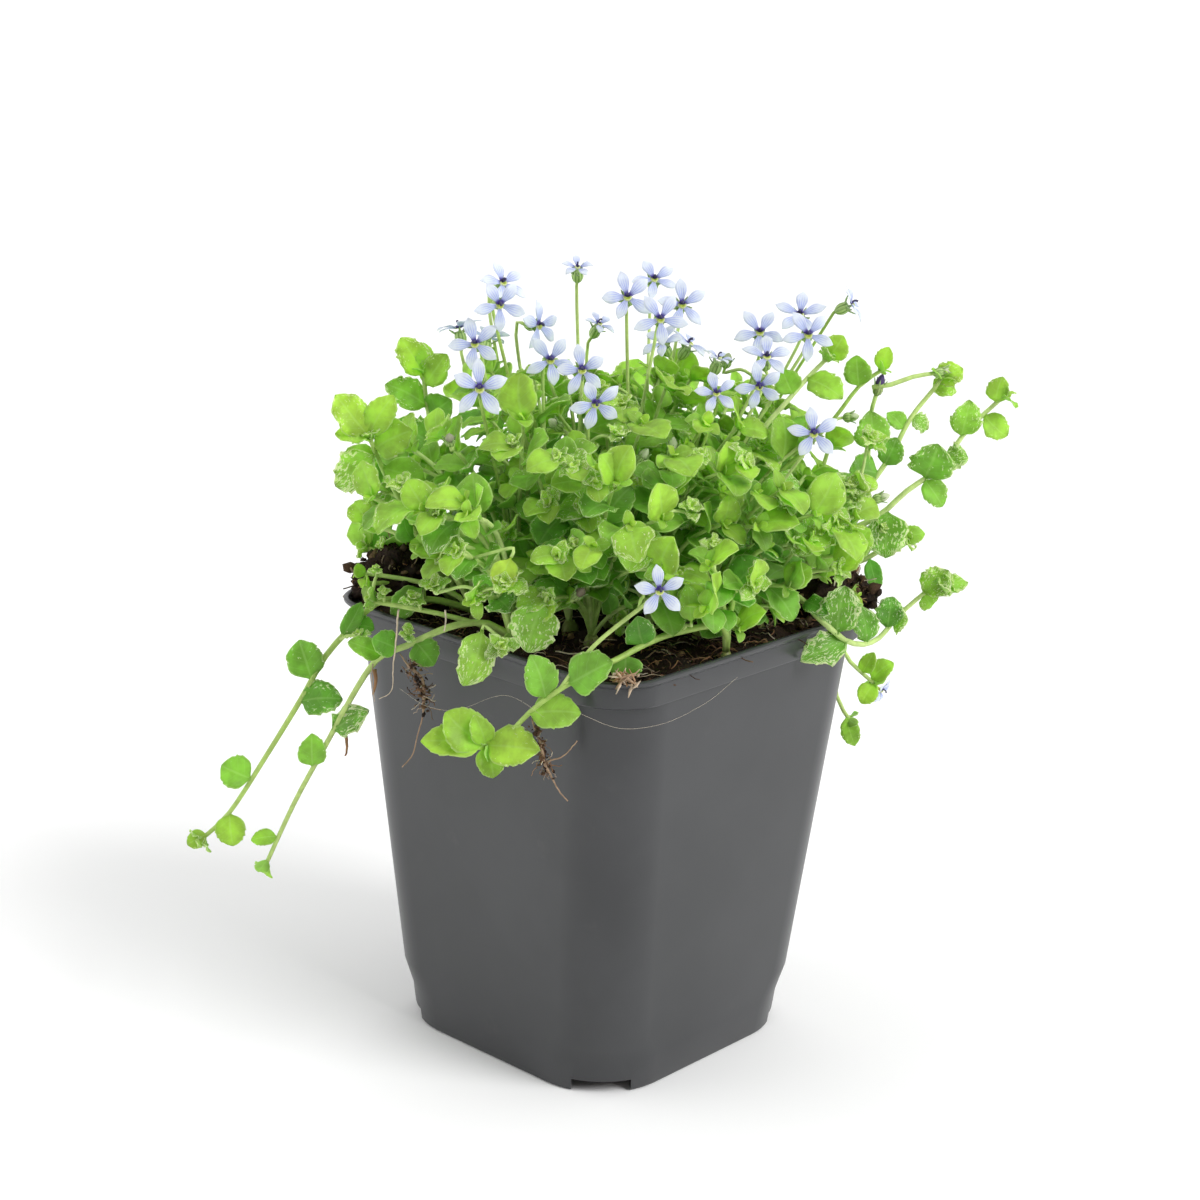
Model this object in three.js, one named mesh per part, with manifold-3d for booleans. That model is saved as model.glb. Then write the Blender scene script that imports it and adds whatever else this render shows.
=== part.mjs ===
// Potted blue star creeper: a square nursery pot, peat, a mound of leafy shoots with blue star
// flowers on thin stalks, and runners that trail over the rim. Millimetres, +Z up, with the origin
// at the middle of the pot's underside and the pot's sides along X and Y.
import * as THREE from "three";
import Module from "manifold-3d";

const wasm = await Module();
wasm.setup();

// Pot
const POT_HEIGHT = 100;
const RIM_HALF = 44.5;
const BAND_HALF = 43.5;
const WALL_TOP_HALF = 42.6;
const BASE_HALF = 34;
const RIM_CORNER = 11;
const WALL_CORNER = 15;
const FOOT_CORNER = 17;
const SHOULDER_CORNER = 14;
const BAND_CORNER = 12;
const FOOT_CHAMFER = 0.7;
const LIP_HEIGHT = 1.8;
const LIP_EDGE = 0.8;
const BAND_HEIGHT = 6.5;
const BAND_STEP = 0.3;
const BAND_RELIEF = 0.8;
const FOOT_TOP = 8;
const FOOT_SHOULDER = 14;
const WALL_THICKNESS = 1.2;
const FLOOR_THICKNESS = 2;
const CORNER_STEPS = 4;
const DRAIN_WIDTH = 13;
const DRAIN_HEIGHT = 3;
const DRAIN_INNER_REACH = 32;
const DRAIN_OUTER_REACH = 46;

// Peat
const GAP = 0.35;
const HOLE_GAP = 0.45;
const HOLE_TOP = 105;
const SOIL_LEVEL = 96.2;
const SOIL_EDGE_LEVEL = 95;
const SOIL_RINGS = [0.93, 0.82, 0.66, 0.46, 0.24];
const SOIL_CENTRE = 0.08;
const SOIL_RIPPLES = { coarse: 0.8, fine: 0.5 };
const SOIL_HEAPS = [
  { x: -46, y: 3, height: 7.5, spread: 6.5 },
  { x: 47, y: 4, height: 7, spread: 6.5 },
  { x: 4, y: 46, height: 3, spread: 7 },
];

// Plant. Its lists of places are in a frame turned about Z from the pot's: X to the right, Y away
// from the side that the flowers face, Z up.
const PLANT_TURN = THREE.MathUtils.degToRad(-47.9);
const SEED = 20261;
const GOLDEN_ANGLE = Math.PI * (3 - Math.sqrt(5));
const ROOT_DEPTH = 94.6;
const CROWN_TOP = 100.2;
const CROWN_RADIUS = 2.1;
const RUNNER_CROWN_RADIUS = 1.4;
const CROWN_FIELD = 33;
const CROWN_SPACING = 6.6;
const TUFTS = 17;
const TUFT_FIELD_POINTS = 26;
const SHOOT_FOOT = 99;
const SHOOT_TRIES = 14;
const INNER_FIELD = 16;
const INNER_SHOOTS = 2;
const SHOOT_REACH = { least: 5, more: 3 };
const SHOOT_RISE = { least: -3, more: 4 };
const SHOOT_SWING = { first: 10, more: 3, reach: 6 };
const SHOOTS = [
  { spread: 1.5, rise: 1, curve: 1.4 },
  { spread: 1.66, rise: 0.74, curve: 1.5 },
  { spread: 1.5, rise: 0.42, curve: 1.7 },
];
const MOUND_TOP = 151;
const MOUND_FALL = 0.0068;
const MOUND_REACH = 54;
const STEM_RADIUS = 0.85;
const STEM_TIP_RADIUS = 0.5;
const STALK_RADIUS = 0.5;
const BRANCH_RADIUS = 0.6;
const STALK_NECK = 2.5;
const STALK_BEND = { across: 0.38, up: 0.5 };
const STALK_SPREAD = 1.45;
const STALK_CHOICES = 6;
const STEM_SIDES = 3;
const STEM_STEP = 15;
const CROWN_SIDES = 5;
const ROOT_SIDES = 5;
const FINEST_EDGE = 0.1;

// Leaf blade: places along the blade and across it, as shares of its length and half width
const BLADE_THICKNESS = 0.6;
const BLADE_EDGE = [
  { along: 0.27, across: 0.84 },
  { along: 0.65, across: 1 },
  { along: 0.76, across: 0.58 },
];
const SMALL_BLADE_EDGE = [
  { along: 0.34, across: 0.92 },
  { along: 0.72, across: 0.86 },
];
const SMALL_BLADE_WIDTH = 7.8;
const BLADE_ROOT = 0.02;
const BLADE_FOLD = 0.22;
const BLADE_ARCH = 0.07;
const LEAF_LENGTH = 10.6;
const LEAF_TIP_LENGTH = 7;
const LEAF_SHAPE = 0.94;
const LEAF_SPACING = 9;
const LEAF_TRIES = 8;
const LEAF_VARIETY = { least: 0.9, more: 0.25 };
const LEAF_SHRINK = 0.045;
const LEAF_SWING = 0.9;
const LEAF_LEAN = { along: 0.45, out: 0.4 };
const LEAF_FACING = { out: 0.55, up: 0.8 };
const LEAFY_SHARE = 0.62;

// Balls that stand for a piece while later pieces are kept clear of it
const BALL_STEP = 2;
const STEM_CLEARANCE = 0.4;
const LEAF_BALL = 0.15;
const LEAF_BALLS = [[0.2, 0], [0.3, 0.5], [0.3, -0.5], [0.45, 0], [0.52, 0.72], [0.52, -0.72], [0.62, 0.3],
  [0.62, -0.3], [0.74, 0.6], [0.74, -0.6], [0.8, 0], [0.95, 0]];
const EYE_BALL = 1.5;
const PETAL_BALLS = [{ share: 0.5, radius: 1.4 }, { share: 0.9, radius: 1.2 }];
const LIP_CLEARANCE = 0.6;
const SOIL_SINK = 0.6;
const RIM_WIDTH = 3.4;

// Flower
const PETALS = 5;
const PETAL_RADIUS = 5.8;
const PETAL_HALF_WIDTH = 1.45;
const PETAL_WIDEST = 0.62;
const PETAL_NOTCH = 1.35;
const PETAL_LIFT = 0.7;
const PETAL_THICKNESS = 0.6;
const CALYX_LENGTH = 3.4;
const CALYX_RADIUS = 1.25;
const BUD_RADIUS = 1.3;

const COLOURS = {
  pot: 0x3b3c3e,
  soil: 0x2c1d14,
  leaf: 0x5f9a34,
  runner: 0x78b03e,
  petal: 0xb9c9f7,
  root: 0x6b4a33,
};

// Flowers: the middle of each star, the way it faces, and the turn of its first petal from upright
const BLOOMS = [
  { at: [-28, -25, 152], faces: [0, -0.95, 0.3], turn: 0, radius: 6.3 },
  { at: [-30, -8, 158], faces: [-0.2, -0.9, 0.35], turn: -26 },
  { at: [-28, 5, 157], faces: [0.15, 0.5, 0.85], turn: 0, radius: 5.2 },
  { at: [-25, 5, 169], faces: [0.45, -0.6, 0.65], turn: 0, radius: 5.6 },
  { at: [-25, -7, 166.4], faces: [0.25, -0.95, 0.05], turn: 36, radius: 5.6 },
  { at: [-35, 15, 157], faces: [-0.25, 0.3, 0.9], turn: 20, radius: 5.6 },
  { at: [-17, 5, 160], faces: [0.75, -0.62, 0.1], turn: 0 },
  { at: [-14, -8, 155], faces: [0.25, -0.9, 0.3], turn: -38 },
  { at: [-9, 10, 172], faces: [0, -0.5, 0.85], turn: 0, radius: 3.7 },
  { at: [-7, -22, 156], faces: [0, -0.95, 0.3], turn: -15, radius: 5.6 },
  { at: [-4, -31, 151], faces: [0.25, -0.95, -0.1], turn: 50, radius: 5.6 },
  { at: [-4, 30, 156], faces: [0.4, -0.35, 0.85], turn: 10, radius: 3.9 },
  { at: [2, -2, 168], faces: [0, -0.87, 0.5], turn: -20 },
  { at: [8, 22, 168], faces: [0.1, -0.75, 0.65], turn: -25, radius: 5.4 },
  { at: [14, 8, 165], faces: [0.05, -0.9, 0.4], turn: -12 },
  { at: [9, -10, 165], faces: [0.1, -0.93, 0.3], turn: 30 },
  { at: [10, 6, 157], faces: [-0.35, -0.45, 0.8], turn: 0, radius: 5.2 },
  { at: [16, 10, 156], faces: [0.5, -0.1, 0.85], turn: 0, radius: 5.4 },
  { at: [22, -5, 156], faces: [0.3, -0.15, 0.94], turn: 0, radius: 3.3 },
  { at: [21, -22, 152], faces: [0, -0.85, 0.5], turn: -18, radius: 4.7 },
  { at: [31, 5, 160], faces: [-0.05, -0.78, 0.6], turn: -36 },
  { at: [32, -7, 157], faces: [0.05, -0.6, 0.8], turn: 0 },
  { at: [30, -18, 153], faces: [0.1, -0.98, -0.1], turn: -20, radius: 5.4 },
  { at: [40, 12, 163], faces: [-0.1, -0.75, 0.65], turn: 0 },
  { at: [41, -1, 161], faces: [0.05, -0.92, 0.35], turn: 36 },
  { at: [51, 10, 166], faces: [0.82, -0.15, 0.45], turn: 30, radius: 4.6 },
  { at: [41, -30, 146], faces: [0, -0.97, 0.2], turn: -9, radius: 5.6 },
  { at: [10, -56, 119], faces: [0.2, -0.95, 0.15], turn: -4, radius: 5.6, runner: "front", share: 0.71 },
];

// Runners: each stem's path above its crown, its leaves as share along the stem, tip and width, and
// how it ends. A later stem of a runner branches off the first.
const RUNNERS = {
  left_upper: [
    {
      path: [[-29, -11, 99.6], [-36, -12, 102], [-45, -13, 102.5], [-50, -15.5, 102], [-54, -18.5, 98.5],
        [-60, -22, 92], [-65, -25, 83], [-72, -27, 71], [-80, -29, 58], [-86, -30, 52]],
      leaves: [[0.51, -66, -21, 95, 8], [0.57, -56, -27, 84, 7.5], [0.8, -82, -27, 68, 7.5],
        [0.9, -79, -31, 51, 6.5], [0.98, -89, -31, 51, 4], [0.38, -53, -18, 103, 4], [0.34, -50, -20, 98, 5]],
    },
  ],
  left_lower: [
    {
      path: [[-20, -29, 99.6], [-25, -29, 102.5], [-31, -30, 102.5], [-36, -31.5, 101], [-42, -32, 98],
        [-47, -31, 95.5], [-50, -30, 92], [-54, -30, 85], [-60, -30, 73], [-66, -30, 61], [-72, -31, 47]],
      leaves: [[0.26, -36, -35, 95, 6.5], [0.6, -50, -31, 83, 6.5], [0.71, -62, -31, 77, 6],
        [0.92, -75, -32, 53, 3.6], [0.31, -49, -34, 100, 6], [0.35, -54, -33, 99, 5]],
    },
  ],
  front: [
    {
      path: [[25, -33, 99.6], [24, -36, 106], [14, -42, 106], [8, -47, 105], [2, -52, 103],
        [-3, -56, 101.8], [-9, -57.5, 98.3], [-15, -57, 93], [-20, -56, 87], [-24, -55.5, 85]],
      leaves: [[0.76, -15, -57, 105, 7], [0.68, 1, -59, 105, 9], [0.83, -5, -59, 94, 7.5],
        [1, -32, -56, 92, 9], [1, -37, -57, 86, 7], [1, -13, -60, 86, 8.5], [1, -22, -58, 79, 6],
        [1, -26, -58, 92, 5], [0.47, 4, -52, 99, 7], [0.4, 6, -49, 111, 6.5]],
    },
  ],
  right: [
    {
      path: [[33, -8, 99.6], [38, -6, 105], [42, -10, 104.5], [45, -15, 102.5], [48.5, -16.5, 99.8],
        [51.5, -15, 97], [56, -11, 95], [60, -6.5, 95.3], [63, -2, 97.3], [66, 0, 100], [71, 2, 104],
        [73, 2, 105]],
      leaves: [[0.43, 51, -14, 109, 9], [0.24, 47, -18, 104, 4.5], [0.49, 42, -20, 94, 7],
        [0.6, 55, -9, 103, 6], [0.78, 66, -4, 99, 6.5], [0.74, 63, 0, 103, 6], [0.94, 75, 1, 109, 7],
        [0.97, 80, 3, 106, 4.5], [0.94, 72, 2, 100, 5]],
    },
  ],
  back_right: [
    {
      path: [[27.5, 23.5, 99.6], [34, 27, 103.5], [43, 30, 104], [50, 31, 100.8], [54, 31, 90],
        [56, 31, 80], [60, 32, 75], [64, 33, 71.5]],
      leaves: [[0.93, 63, 30, 80, 4], [0.98, 68, 33, 77, 5.5], [1, 61, 31, 67, 5]],
    },
    { path: [[54, 31, 90], [54, 30, 80], [55, 30, 69], [58.5, 30, 63]], leaves: [[0.94, 60, 29, 57, 4.5]] },
  ],
  upper_right: [
    {
      path: [[27, -4, 99.6], [34, -3, 106], [42, -2, 111], [50, 0, 122], [56, 2, 127], [61, 4, 134],
        [65, 6, 142], [70, 9, 148], [72, 9, 151]],
      leaves: [[0.97, 76, 9, 153, 6], [0.94, 75, 12, 149, 5.5], [0.66, 62, 4, 138, 5.5],
        [0.79, 60, 7, 143, 4.5], [0.84, 69, 8, 139, 4.5], [0.63, 52, 1, 131, 8]],
    },
    {
      path: [[56, 2, 127], [56, 4, 135], [56, 5, 142], [57, 5, 147]],
      leaves: [[0.4, 56, 2, 144, 8]],
      bud: 5,
    },
    { path: [[50, 0, 122], [54, -1, 124], [57, -1, 125]], leaves: [], bud: 4 },
  ],
  far_right: [
    {
      path: [[37, 2, 99.6], [42, 3, 109], [50, 4, 115], [59, 4, 120], [65, 4, 126], [72, 6, 131],
        [77, 8, 138], [82, 10, 143], [86, 10, 147]],
      leaves: [[0.48, 61, 2, 111, 9], [0.63, 71, 3, 137, 9.5], [0.63, 73, 3, 123, 6], [0.72, 78, 5, 134, 6],
        [0.81, 78, 7, 146, 7], [0.91, 87, 9, 138, 6], [0.96, 85, 10, 151, 5], [0.35, 57, 1, 112, 6]],
    },
  ],
  top_right: [
    {
      path: [[20, 4, 99.6], [24, 2, 116], [28, -1, 130], [32, -3, 140], [37, -1, 146], [40, 2, 149],
        [43, 4, 152], [46, 5, 155]],
      leaves: [[0.82, 36, 0, 153, 6], [0.9, 49, -2, 148, 7], [1, 49, 4, 160, 6]],
    },
    {
      path: [[22, 3, 108], [27, 3, 116], [33, 2, 126], [41, 2, 134], [48, 3, 142], [53, 4, 149],
        [58, 4, 153]],
      leaves: [[0.89, 52, 3, 156, 6], [0.99, 59, 4, 158, 4], [0.63, 38, 0, 141, 7]],
    },
    { path: [[57, 4, 152], [60, 5, 156], [64, 7, 158], [67, 8, 158]], leaves: [], bud: 5 },
  ],
  left_spray: [
    {
      path: [[-34, -3, 99.6], [-38, -4, 108], [-43, -6, 117], [-46, -8, 124], [-49, -10, 130],
        [-52, -12, 138]],
      leaves: [[1, -59, -12, 147, 8], [1, -47, -12, 147, 6.5], [0.93, -43, -13, 140, 9],
        [0.9, -59, -13, 127, 8.5], [1, -59, -14, 139, 4], [0.82, -40, -12, 128, 7.5]],
    },
  ],
  left_tall: [
    {
      path: [[-28, 4, 99.6], [-33, 5, 113], [-38, 5, 128], [-41, 6, 141], [-42, 6, 149]],
      leaves: [[0.97, -47, 6, 156, 7], [0.93, -37, 5, 153, 6.5], [0.84, -50, 5, 146, 7],
        [0.78, -36, 4, 143, 8], [0.66, -49, 4, 137, 8], [1, -42, 7, 155, 4]],
    },
  ],
  back_small: [
    {
      path: [[44, 15, 99.6], [50, 15, 104], [58, 15, 107], [64, 14, 112], [66, 14, 113]],
      leaves: [[0.95, 71, 14, 114, 4.5], [0.65, 61, 13, 100, 4]],
    },
  ],
};

// Bare roots that hang below two runners
const ROOTS = {
  root_left: [
    {
      path: [[-43.3, -33.2, 96.6], [-41.5, -36.5, 95.4], [-38.5, -38.3, 93], [-38, -38, 89], [-38, -38, 85],
        [-39, -38, 81], [-40, -38, 76], [-42, -37.5, 73]],
      radii: [0.4, 0.7, 2.1, 1.7, 0.6, 0.4, 0.4, 0.35],
    },
  ],
  root_front: [
    {
      path: [[-14.7, -57, 91.6], [-13, -57.5, 87], [-12, -57.5, 82.5], [-11, -57, 80], [-9, -57, 76.5],
        [-7, -57, 74]],
      radii: [0.5, 1, 1.4, 0.9, 0.5, 0.35],
    },
    { path: [[-12, -57.5, 82.5], [-8, -57.3, 84], [-5.5, -57, 87]], radii: [0.8, 0.5, 0.35] },
  ],
};

const vector = (values) => new THREE.Vector3(...values);
const mix = THREE.MathUtils.lerp;
const UP = new THREE.Vector3(0, 0, 1);
const VIEWER = new THREE.Vector3(0, -0.8, 0.6);

let randomState = SEED;
function random() {
  randomState = (randomState * 1664525 + 1013904223) % 4294967296;
  return randomState / 4294967296;
}

function solid(points, triangles) {
  const vertProperties = new Float32Array(points.flatMap((point) => [point.x, point.y, point.z]));
  const triVerts = new Uint32Array(triangles.flat());
  return new wasm.Manifold(new wasm.Mesh({ numProp: 3, vertProperties, triVerts }));
}

function fuse(solids) {
  return solids.reduce((whole, piece) => whole.add(piece)).simplify(FINEST_EDGE);
}

function meshOf(name, body, colour, roughness) {
  const { numProp, vertProperties, triVerts } = body.getMesh();
  const positions = [];
  for (let start = 0; start < vertProperties.length; start += numProp) {
    positions.push(vertProperties[start], vertProperties[start + 1], vertProperties[start + 2]);
  }
  const geometry = new THREE.BufferGeometry();
  geometry.setAttribute("position", new THREE.Float32BufferAttribute(positions, 3));
  geometry.setIndex([...triVerts]);
  geometry.computeVertexNormals();
  const material = new THREE.MeshStandardMaterial({ color: colour, roughness, metalness: 0 });
  const mesh = new THREE.Mesh(geometry, material);
  mesh.name = name;
  return mesh;
}

// A closed skin over a stack of rings with the same number of points, with a flat cap at each end
function loft(rings) {
  const count = rings[0].length;
  const triangles = [];
  for (let level = 0; level + 1 < rings.length; level += 1) {
    for (let step = 0; step < count; step += 1) {
      const next = (step + 1) % count;
      const low = level * count;
      const high = low + count;
      triangles.push([low + step, low + next, high + next], [low + step, high + next, high + step]);
    }
  }
  const last = (rings.length - 1) * count;
  for (let step = 1; step + 1 < count; step += 1) {
    triangles.push([0, step + 1, step], [last, last + step, last + step + 1]);
  }
  return solid(rings.flat(), triangles);
}

function roundedSquare(half, corner, height) {
  const points = [];
  for (let quarter = 0; quarter < 4; quarter += 1) {
    for (let step = 0; step <= CORNER_STEPS; step += 1) {
      const angle = (Math.PI / 2) * (quarter + step / CORNER_STEPS);
      const middle = (Math.PI / 2) * (quarter + 0.5);
      const centre = (half - corner) * Math.SQRT2;
      const x = centre * Math.cos(middle) + corner * Math.cos(angle);
      const y = centre * Math.sin(middle) + corner * Math.sin(angle);
      points.push(new THREE.Vector3(x, y, height));
    }
  }
  return points;
}

function wallHalf(height) {
  return mix(BASE_HALF, WALL_TOP_HALF, height / (POT_HEIGHT - BAND_HEIGHT));
}

// Pot: outer skin from the foot to the lip, then the inner skin down to the floor
function potBody() {
  const bandFoot = POT_HEIGHT - BAND_HEIGHT;
  const lipFoot = POT_HEIGHT - LIP_HEIGHT;
  const rings = [
    roundedSquare(BASE_HALF - FOOT_CHAMFER, FOOT_CORNER - FOOT_CHAMFER, 0),
    roundedSquare(wallHalf(FOOT_CHAMFER), FOOT_CORNER, FOOT_CHAMFER),
    roundedSquare(wallHalf(FOOT_TOP), FOOT_CORNER, FOOT_TOP),
    roundedSquare(wallHalf(FOOT_SHOULDER), SHOULDER_CORNER, FOOT_SHOULDER),
    roundedSquare(WALL_TOP_HALF, WALL_CORNER, bandFoot),
    roundedSquare(BAND_HALF, BAND_CORNER, bandFoot + BAND_STEP),
    roundedSquare(BAND_HALF, BAND_CORNER, lipFoot),
    roundedSquare(RIM_HALF, RIM_CORNER, POT_HEIGHT - LIP_EDGE),
    roundedSquare(RIM_HALF, RIM_CORNER, POT_HEIGHT),
    roundedSquare(RIM_HALF - WALL_THICKNESS, RIM_CORNER - WALL_THICKNESS, POT_HEIGHT),
    ...innerRings(WALL_THICKNESS).reverse(),
  ];
  return [45, 135, 225, 315].reduce((body, angle) => body.subtract(drain(angle)), loft(rings));
}

// Rings that follow the inside of the wall, from the floor to the lip
function innerRings(inset) {
  const bandFoot = POT_HEIGHT - BAND_HEIGHT;
  return [
    roundedSquare(wallHalf(0) - inset, FOOT_CORNER - inset, FLOOR_THICKNESS),
    roundedSquare(wallHalf(FOOT_TOP) - inset, FOOT_CORNER - inset, FOOT_TOP),
    roundedSquare(wallHalf(FOOT_SHOULDER) - inset, SHOULDER_CORNER - inset, FOOT_SHOULDER),
    roundedSquare(WALL_TOP_HALF - inset, WALL_CORNER - inset, bandFoot - BAND_RELIEF),
    roundedSquare(WALL_TOP_HALF + BAND_RELIEF - inset, WALL_CORNER - inset, bandFoot + BAND_RELIEF),
  ];
}

// Drain slot through a bottom corner, where the floor meets the wall
function drain(angle) {
  const middle = (DRAIN_INNER_REACH + DRAIN_OUTER_REACH) / 2;
  const box = new THREE.BoxGeometry(DRAIN_OUTER_REACH - DRAIN_INNER_REACH, DRAIN_WIDTH, DRAIN_HEIGHT * 2);
  box.translate(middle, 0, 0);
  box.rotateZ(THREE.MathUtils.degToRad(angle));
  return boxSolid(box);
}

function boxSolid(box) {
  const corners = [];
  const places = new Map();
  const source = box.getAttribute("position");
  const indices = [...box.index.array].map((index) => {
    const corner = new THREE.Vector3().fromBufferAttribute(source, index);
    const key = corner.toArray().map((value) => value.toFixed(4)).join();
    if (!places.has(key)) {
      places.set(key, corners.length);
      corners.push(corner);
    }
    return places.get(key);
  });
  const triangles = [];
  for (let start = 0; start < indices.length; start += 3) {
    triangles.push(indices.slice(start, start + 3));
  }
  return solid(corners, triangles);
}

function toPlant(point) {
  return point.clone().applyAxisAngle(UP, -PLANT_TURN);
}

function toPot(point) {
  return point.clone().applyAxisAngle(UP, PLANT_TURN);
}

// Height of the peat at a place in the plant's frame
function soilHeight(x, y) {
  const coarse = SOIL_RIPPLES.coarse * Math.sin(0.31 * x + 1) * Math.cos(0.27 * y);
  const fine = SOIL_RIPPLES.fine * Math.sin(0.53 * x - 0.41 * y + 2);
  const heaps = SOIL_HEAPS.map((heap) => {
    const reach = ((x - heap.x) ** 2 + (y - heap.y) ** 2) / (2 * heap.spread ** 2);
    return heap.height * Math.exp(-reach);
  });
  return SOIL_LEVEL + coarse + fine + heaps.reduce((sum, height) => sum + height, 0);
}

// How far a place in the plant's frame lies outside the rim, negative inside it
function outsideRim(x, y) {
  const point = toPot(new THREE.Vector3(x, y, 0));
  const straight = RIM_HALF - RIM_CORNER;
  const acrossX = Math.abs(point.x) - straight;
  const acrossY = Math.abs(point.y) - straight;
  const corner = Math.hypot(Math.max(acrossX, 0), Math.max(acrossY, 0));
  return corner + Math.min(Math.max(acrossX, acrossY), 0) - RIM_CORNER;
}

// Peat: follows the pot's inside, with an uneven top and a plain hole for every crown
function soilBody(crowns) {
  const sides = innerRings(WALL_THICKNESS + GAP);
  sides[0].forEach((point) => {
    point.z += GAP;
  });
  const edge = sides.at(-1);
  edge.forEach((point) => {
    point.z = SOIL_EDGE_LEVEL;
  });
  const tops = SOIL_RINGS.map((share) =>
    edge.map((point) => {
      const place = toPlant(point).multiplyScalar(share);
      return new THREE.Vector3(point.x * share, point.y * share, soilHeight(place.x, place.y));
    }),
  );
  tops.push(edge.map((point) => point.clone().multiplyScalar(SOIL_CENTRE).setZ(soilHeight(0, 0))));
  const body = loft([...sides, ...tops]);
  return crowns.reduce((soil, crown) => {
    const root = toPot(crown.place);
    return soil.subtract(peg(root, crown.radius + HOLE_GAP, ROOT_DEPTH - GAP, HOLE_TOP, PLANT_TURN));
  }, body);
}

function peg(place, radius, low, high, turn = 0) {
  const ring = (height) =>
    Array.from({ length: CROWN_SIDES }, (unused, step) => {
      const angle = turn + (step * 2 * Math.PI) / CROWN_SIDES;
      const spoke = new THREE.Vector3(radius * Math.cos(angle), radius * Math.sin(angle), 0);
      return spoke.add(place).setZ(height);
    });
  return loft([ring(low), ring(high)]);
}

// A smooth path through points, with its length shared out evenly enough for stems
function smoothPath(points, step) {
  const path = [];
  for (let index = 0; index + 1 < points.length; index += 1) {
    const before = points[Math.max(index - 1, 0)];
    const start = points[index];
    const end = points[index + 1];
    const after = points[Math.min(index + 2, points.length - 1)];
    const pieces = Math.max(1, Math.round(start.distanceTo(end) / step));
    for (let piece = 0; piece < pieces; piece += 1) {
      path.push(hermite(before, start, end, after, piece / pieces));
    }
  }
  path.push(points.at(-1).clone());
  return path;
}

function hermite(before, start, end, after, share) {
  const square = share ** 2;
  const cube = share ** 3;
  return start
    .clone()
    .multiplyScalar(1 - 2.5 * square + 1.5 * cube)
    .addScaledVector(before, square - 0.5 * (share + cube))
    .addScaledVector(end, 0.5 * share + 2 * square - 1.5 * cube)
    .addScaledVector(after, 0.5 * (cube - square));
}

function pathLength(path) {
  return path.slice(1).reduce((sum, point, index) => sum + point.distanceTo(path[index]), 0);
}

// The point and direction at a share of a path's length
function along(path, share) {
  let left = share * pathLength(path);
  for (let index = 1; index < path.length; index += 1) {
    const piece = path[index].distanceTo(path[index - 1]);
    if (left <= piece || index === path.length - 1) {
      const direction = path[index].clone().sub(path[index - 1]).normalize();
      return { point: path[index - 1].clone().lerp(path[index], Math.min(left / piece, 1)), direction };
    }
    left -= piece;
  }
  return null;
}

// A tube with one radius per path point, its section carried along the path without twist
function tube(path, radii, sides) {
  let side = new THREE.Vector3(1, 0, 0);
  const rings = path.map((point, index) => {
    const direction = path[Math.min(index + 1, path.length - 1)].clone().sub(path[Math.max(index - 1, 0)]);
    direction.normalize();
    side = side.clone().addScaledVector(direction, -side.dot(direction)).normalize();
    const up = new THREE.Vector3().crossVectors(direction, side);
    return Array.from({ length: sides }, (unused, step) => {
      const angle = (step * 2 * Math.PI) / sides;
      const across = side.clone().multiplyScalar(Math.cos(angle)).addScaledVector(up, Math.sin(angle));
      return point.clone().addScaledVector(across, radii[index]);
    });
  });
  return loft(rings);
}

function stemSolid(stem) {
  const path = smoothPath(stem.points, STEM_STEP);
  const radii = path.map((point, index) => mix(stem.thick, stem.thin, index / (path.length - 1)));
  const end = path.at(-1);
  const direction = stem.facing ?? end.clone().sub(path.at(-2)).normalize();
  if (stem.ending === "calyx") {
    path.push(end.clone().addScaledVector(direction, CALYX_LENGTH * 0.45));
    path.push(end.clone().addScaledVector(direction, CALYX_LENGTH));
    radii.push(CALYX_RADIUS, CALYX_RADIUS);
  }
  if (stem.ending === "bud") {
    path.push(end.clone().addScaledVector(direction, stem.bud * 0.35));
    path.push(end.clone().addScaledVector(direction, stem.bud));
    radii.push(BUD_RADIUS, STALK_RADIUS);
  }
  return tube(path, radii, STEM_SIDES);
}

// The leaf's own axes: along the blade, across it, and out of its upper face
function leafAxes(leaf) {
  const forward = leaf.tip.clone().sub(leaf.base);
  const length = forward.length();
  forward.normalize();
  const face = leaf.facing.clone().addScaledVector(forward, -leaf.facing.dot(forward)).normalize();
  const across = new THREE.Vector3().crossVectors(forward, face);
  return { length, forward, face, across };
}

function bladePoint(leaf, axes, share, side) {
  const half = leaf.width / 2;
  const arch = BLADE_ARCH * axes.length * 4 * share * (1 - share);
  return leaf.base
    .clone()
    .addScaledVector(axes.forward, share * axes.length)
    .addScaledVector(axes.across, side * half)
    .addScaledVector(axes.face, arch + BLADE_FOLD * Math.abs(side) * half);
}

// A leaf blade with its sides turned up: the same triangles on both faces, joined round the edge
function bladeSolid(leaf) {
  const axes = leafAxes(leaf);
  const edge = leaf.width < SMALL_BLADE_WIDTH ? SMALL_BLADE_EDGE : BLADE_EDGE;
  const tip = edge.length + 1;
  const last = 2 * edge.length + 1;
  const outline = [
    bladePoint(leaf, axes, BLADE_ROOT, 0),
    ...edge.map((place) => bladePoint(leaf, axes, place.along, place.across)),
    bladePoint(leaf, axes, 1, 0),
    ...edge.toReversed().map((place) => bladePoint(leaf, axes, place.along, -place.across)),
  ];
  const triangles = [[0, 1, last], [1, tip, last]];
  for (let step = 1; step < edge.length; step += 1) {
    triangles.push([1, step + 1, step + 2], [last, last - step - 1, last - step]);
  }
  return plate(outline, triangles, axes.face, BLADE_THICKNESS);
}

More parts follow.
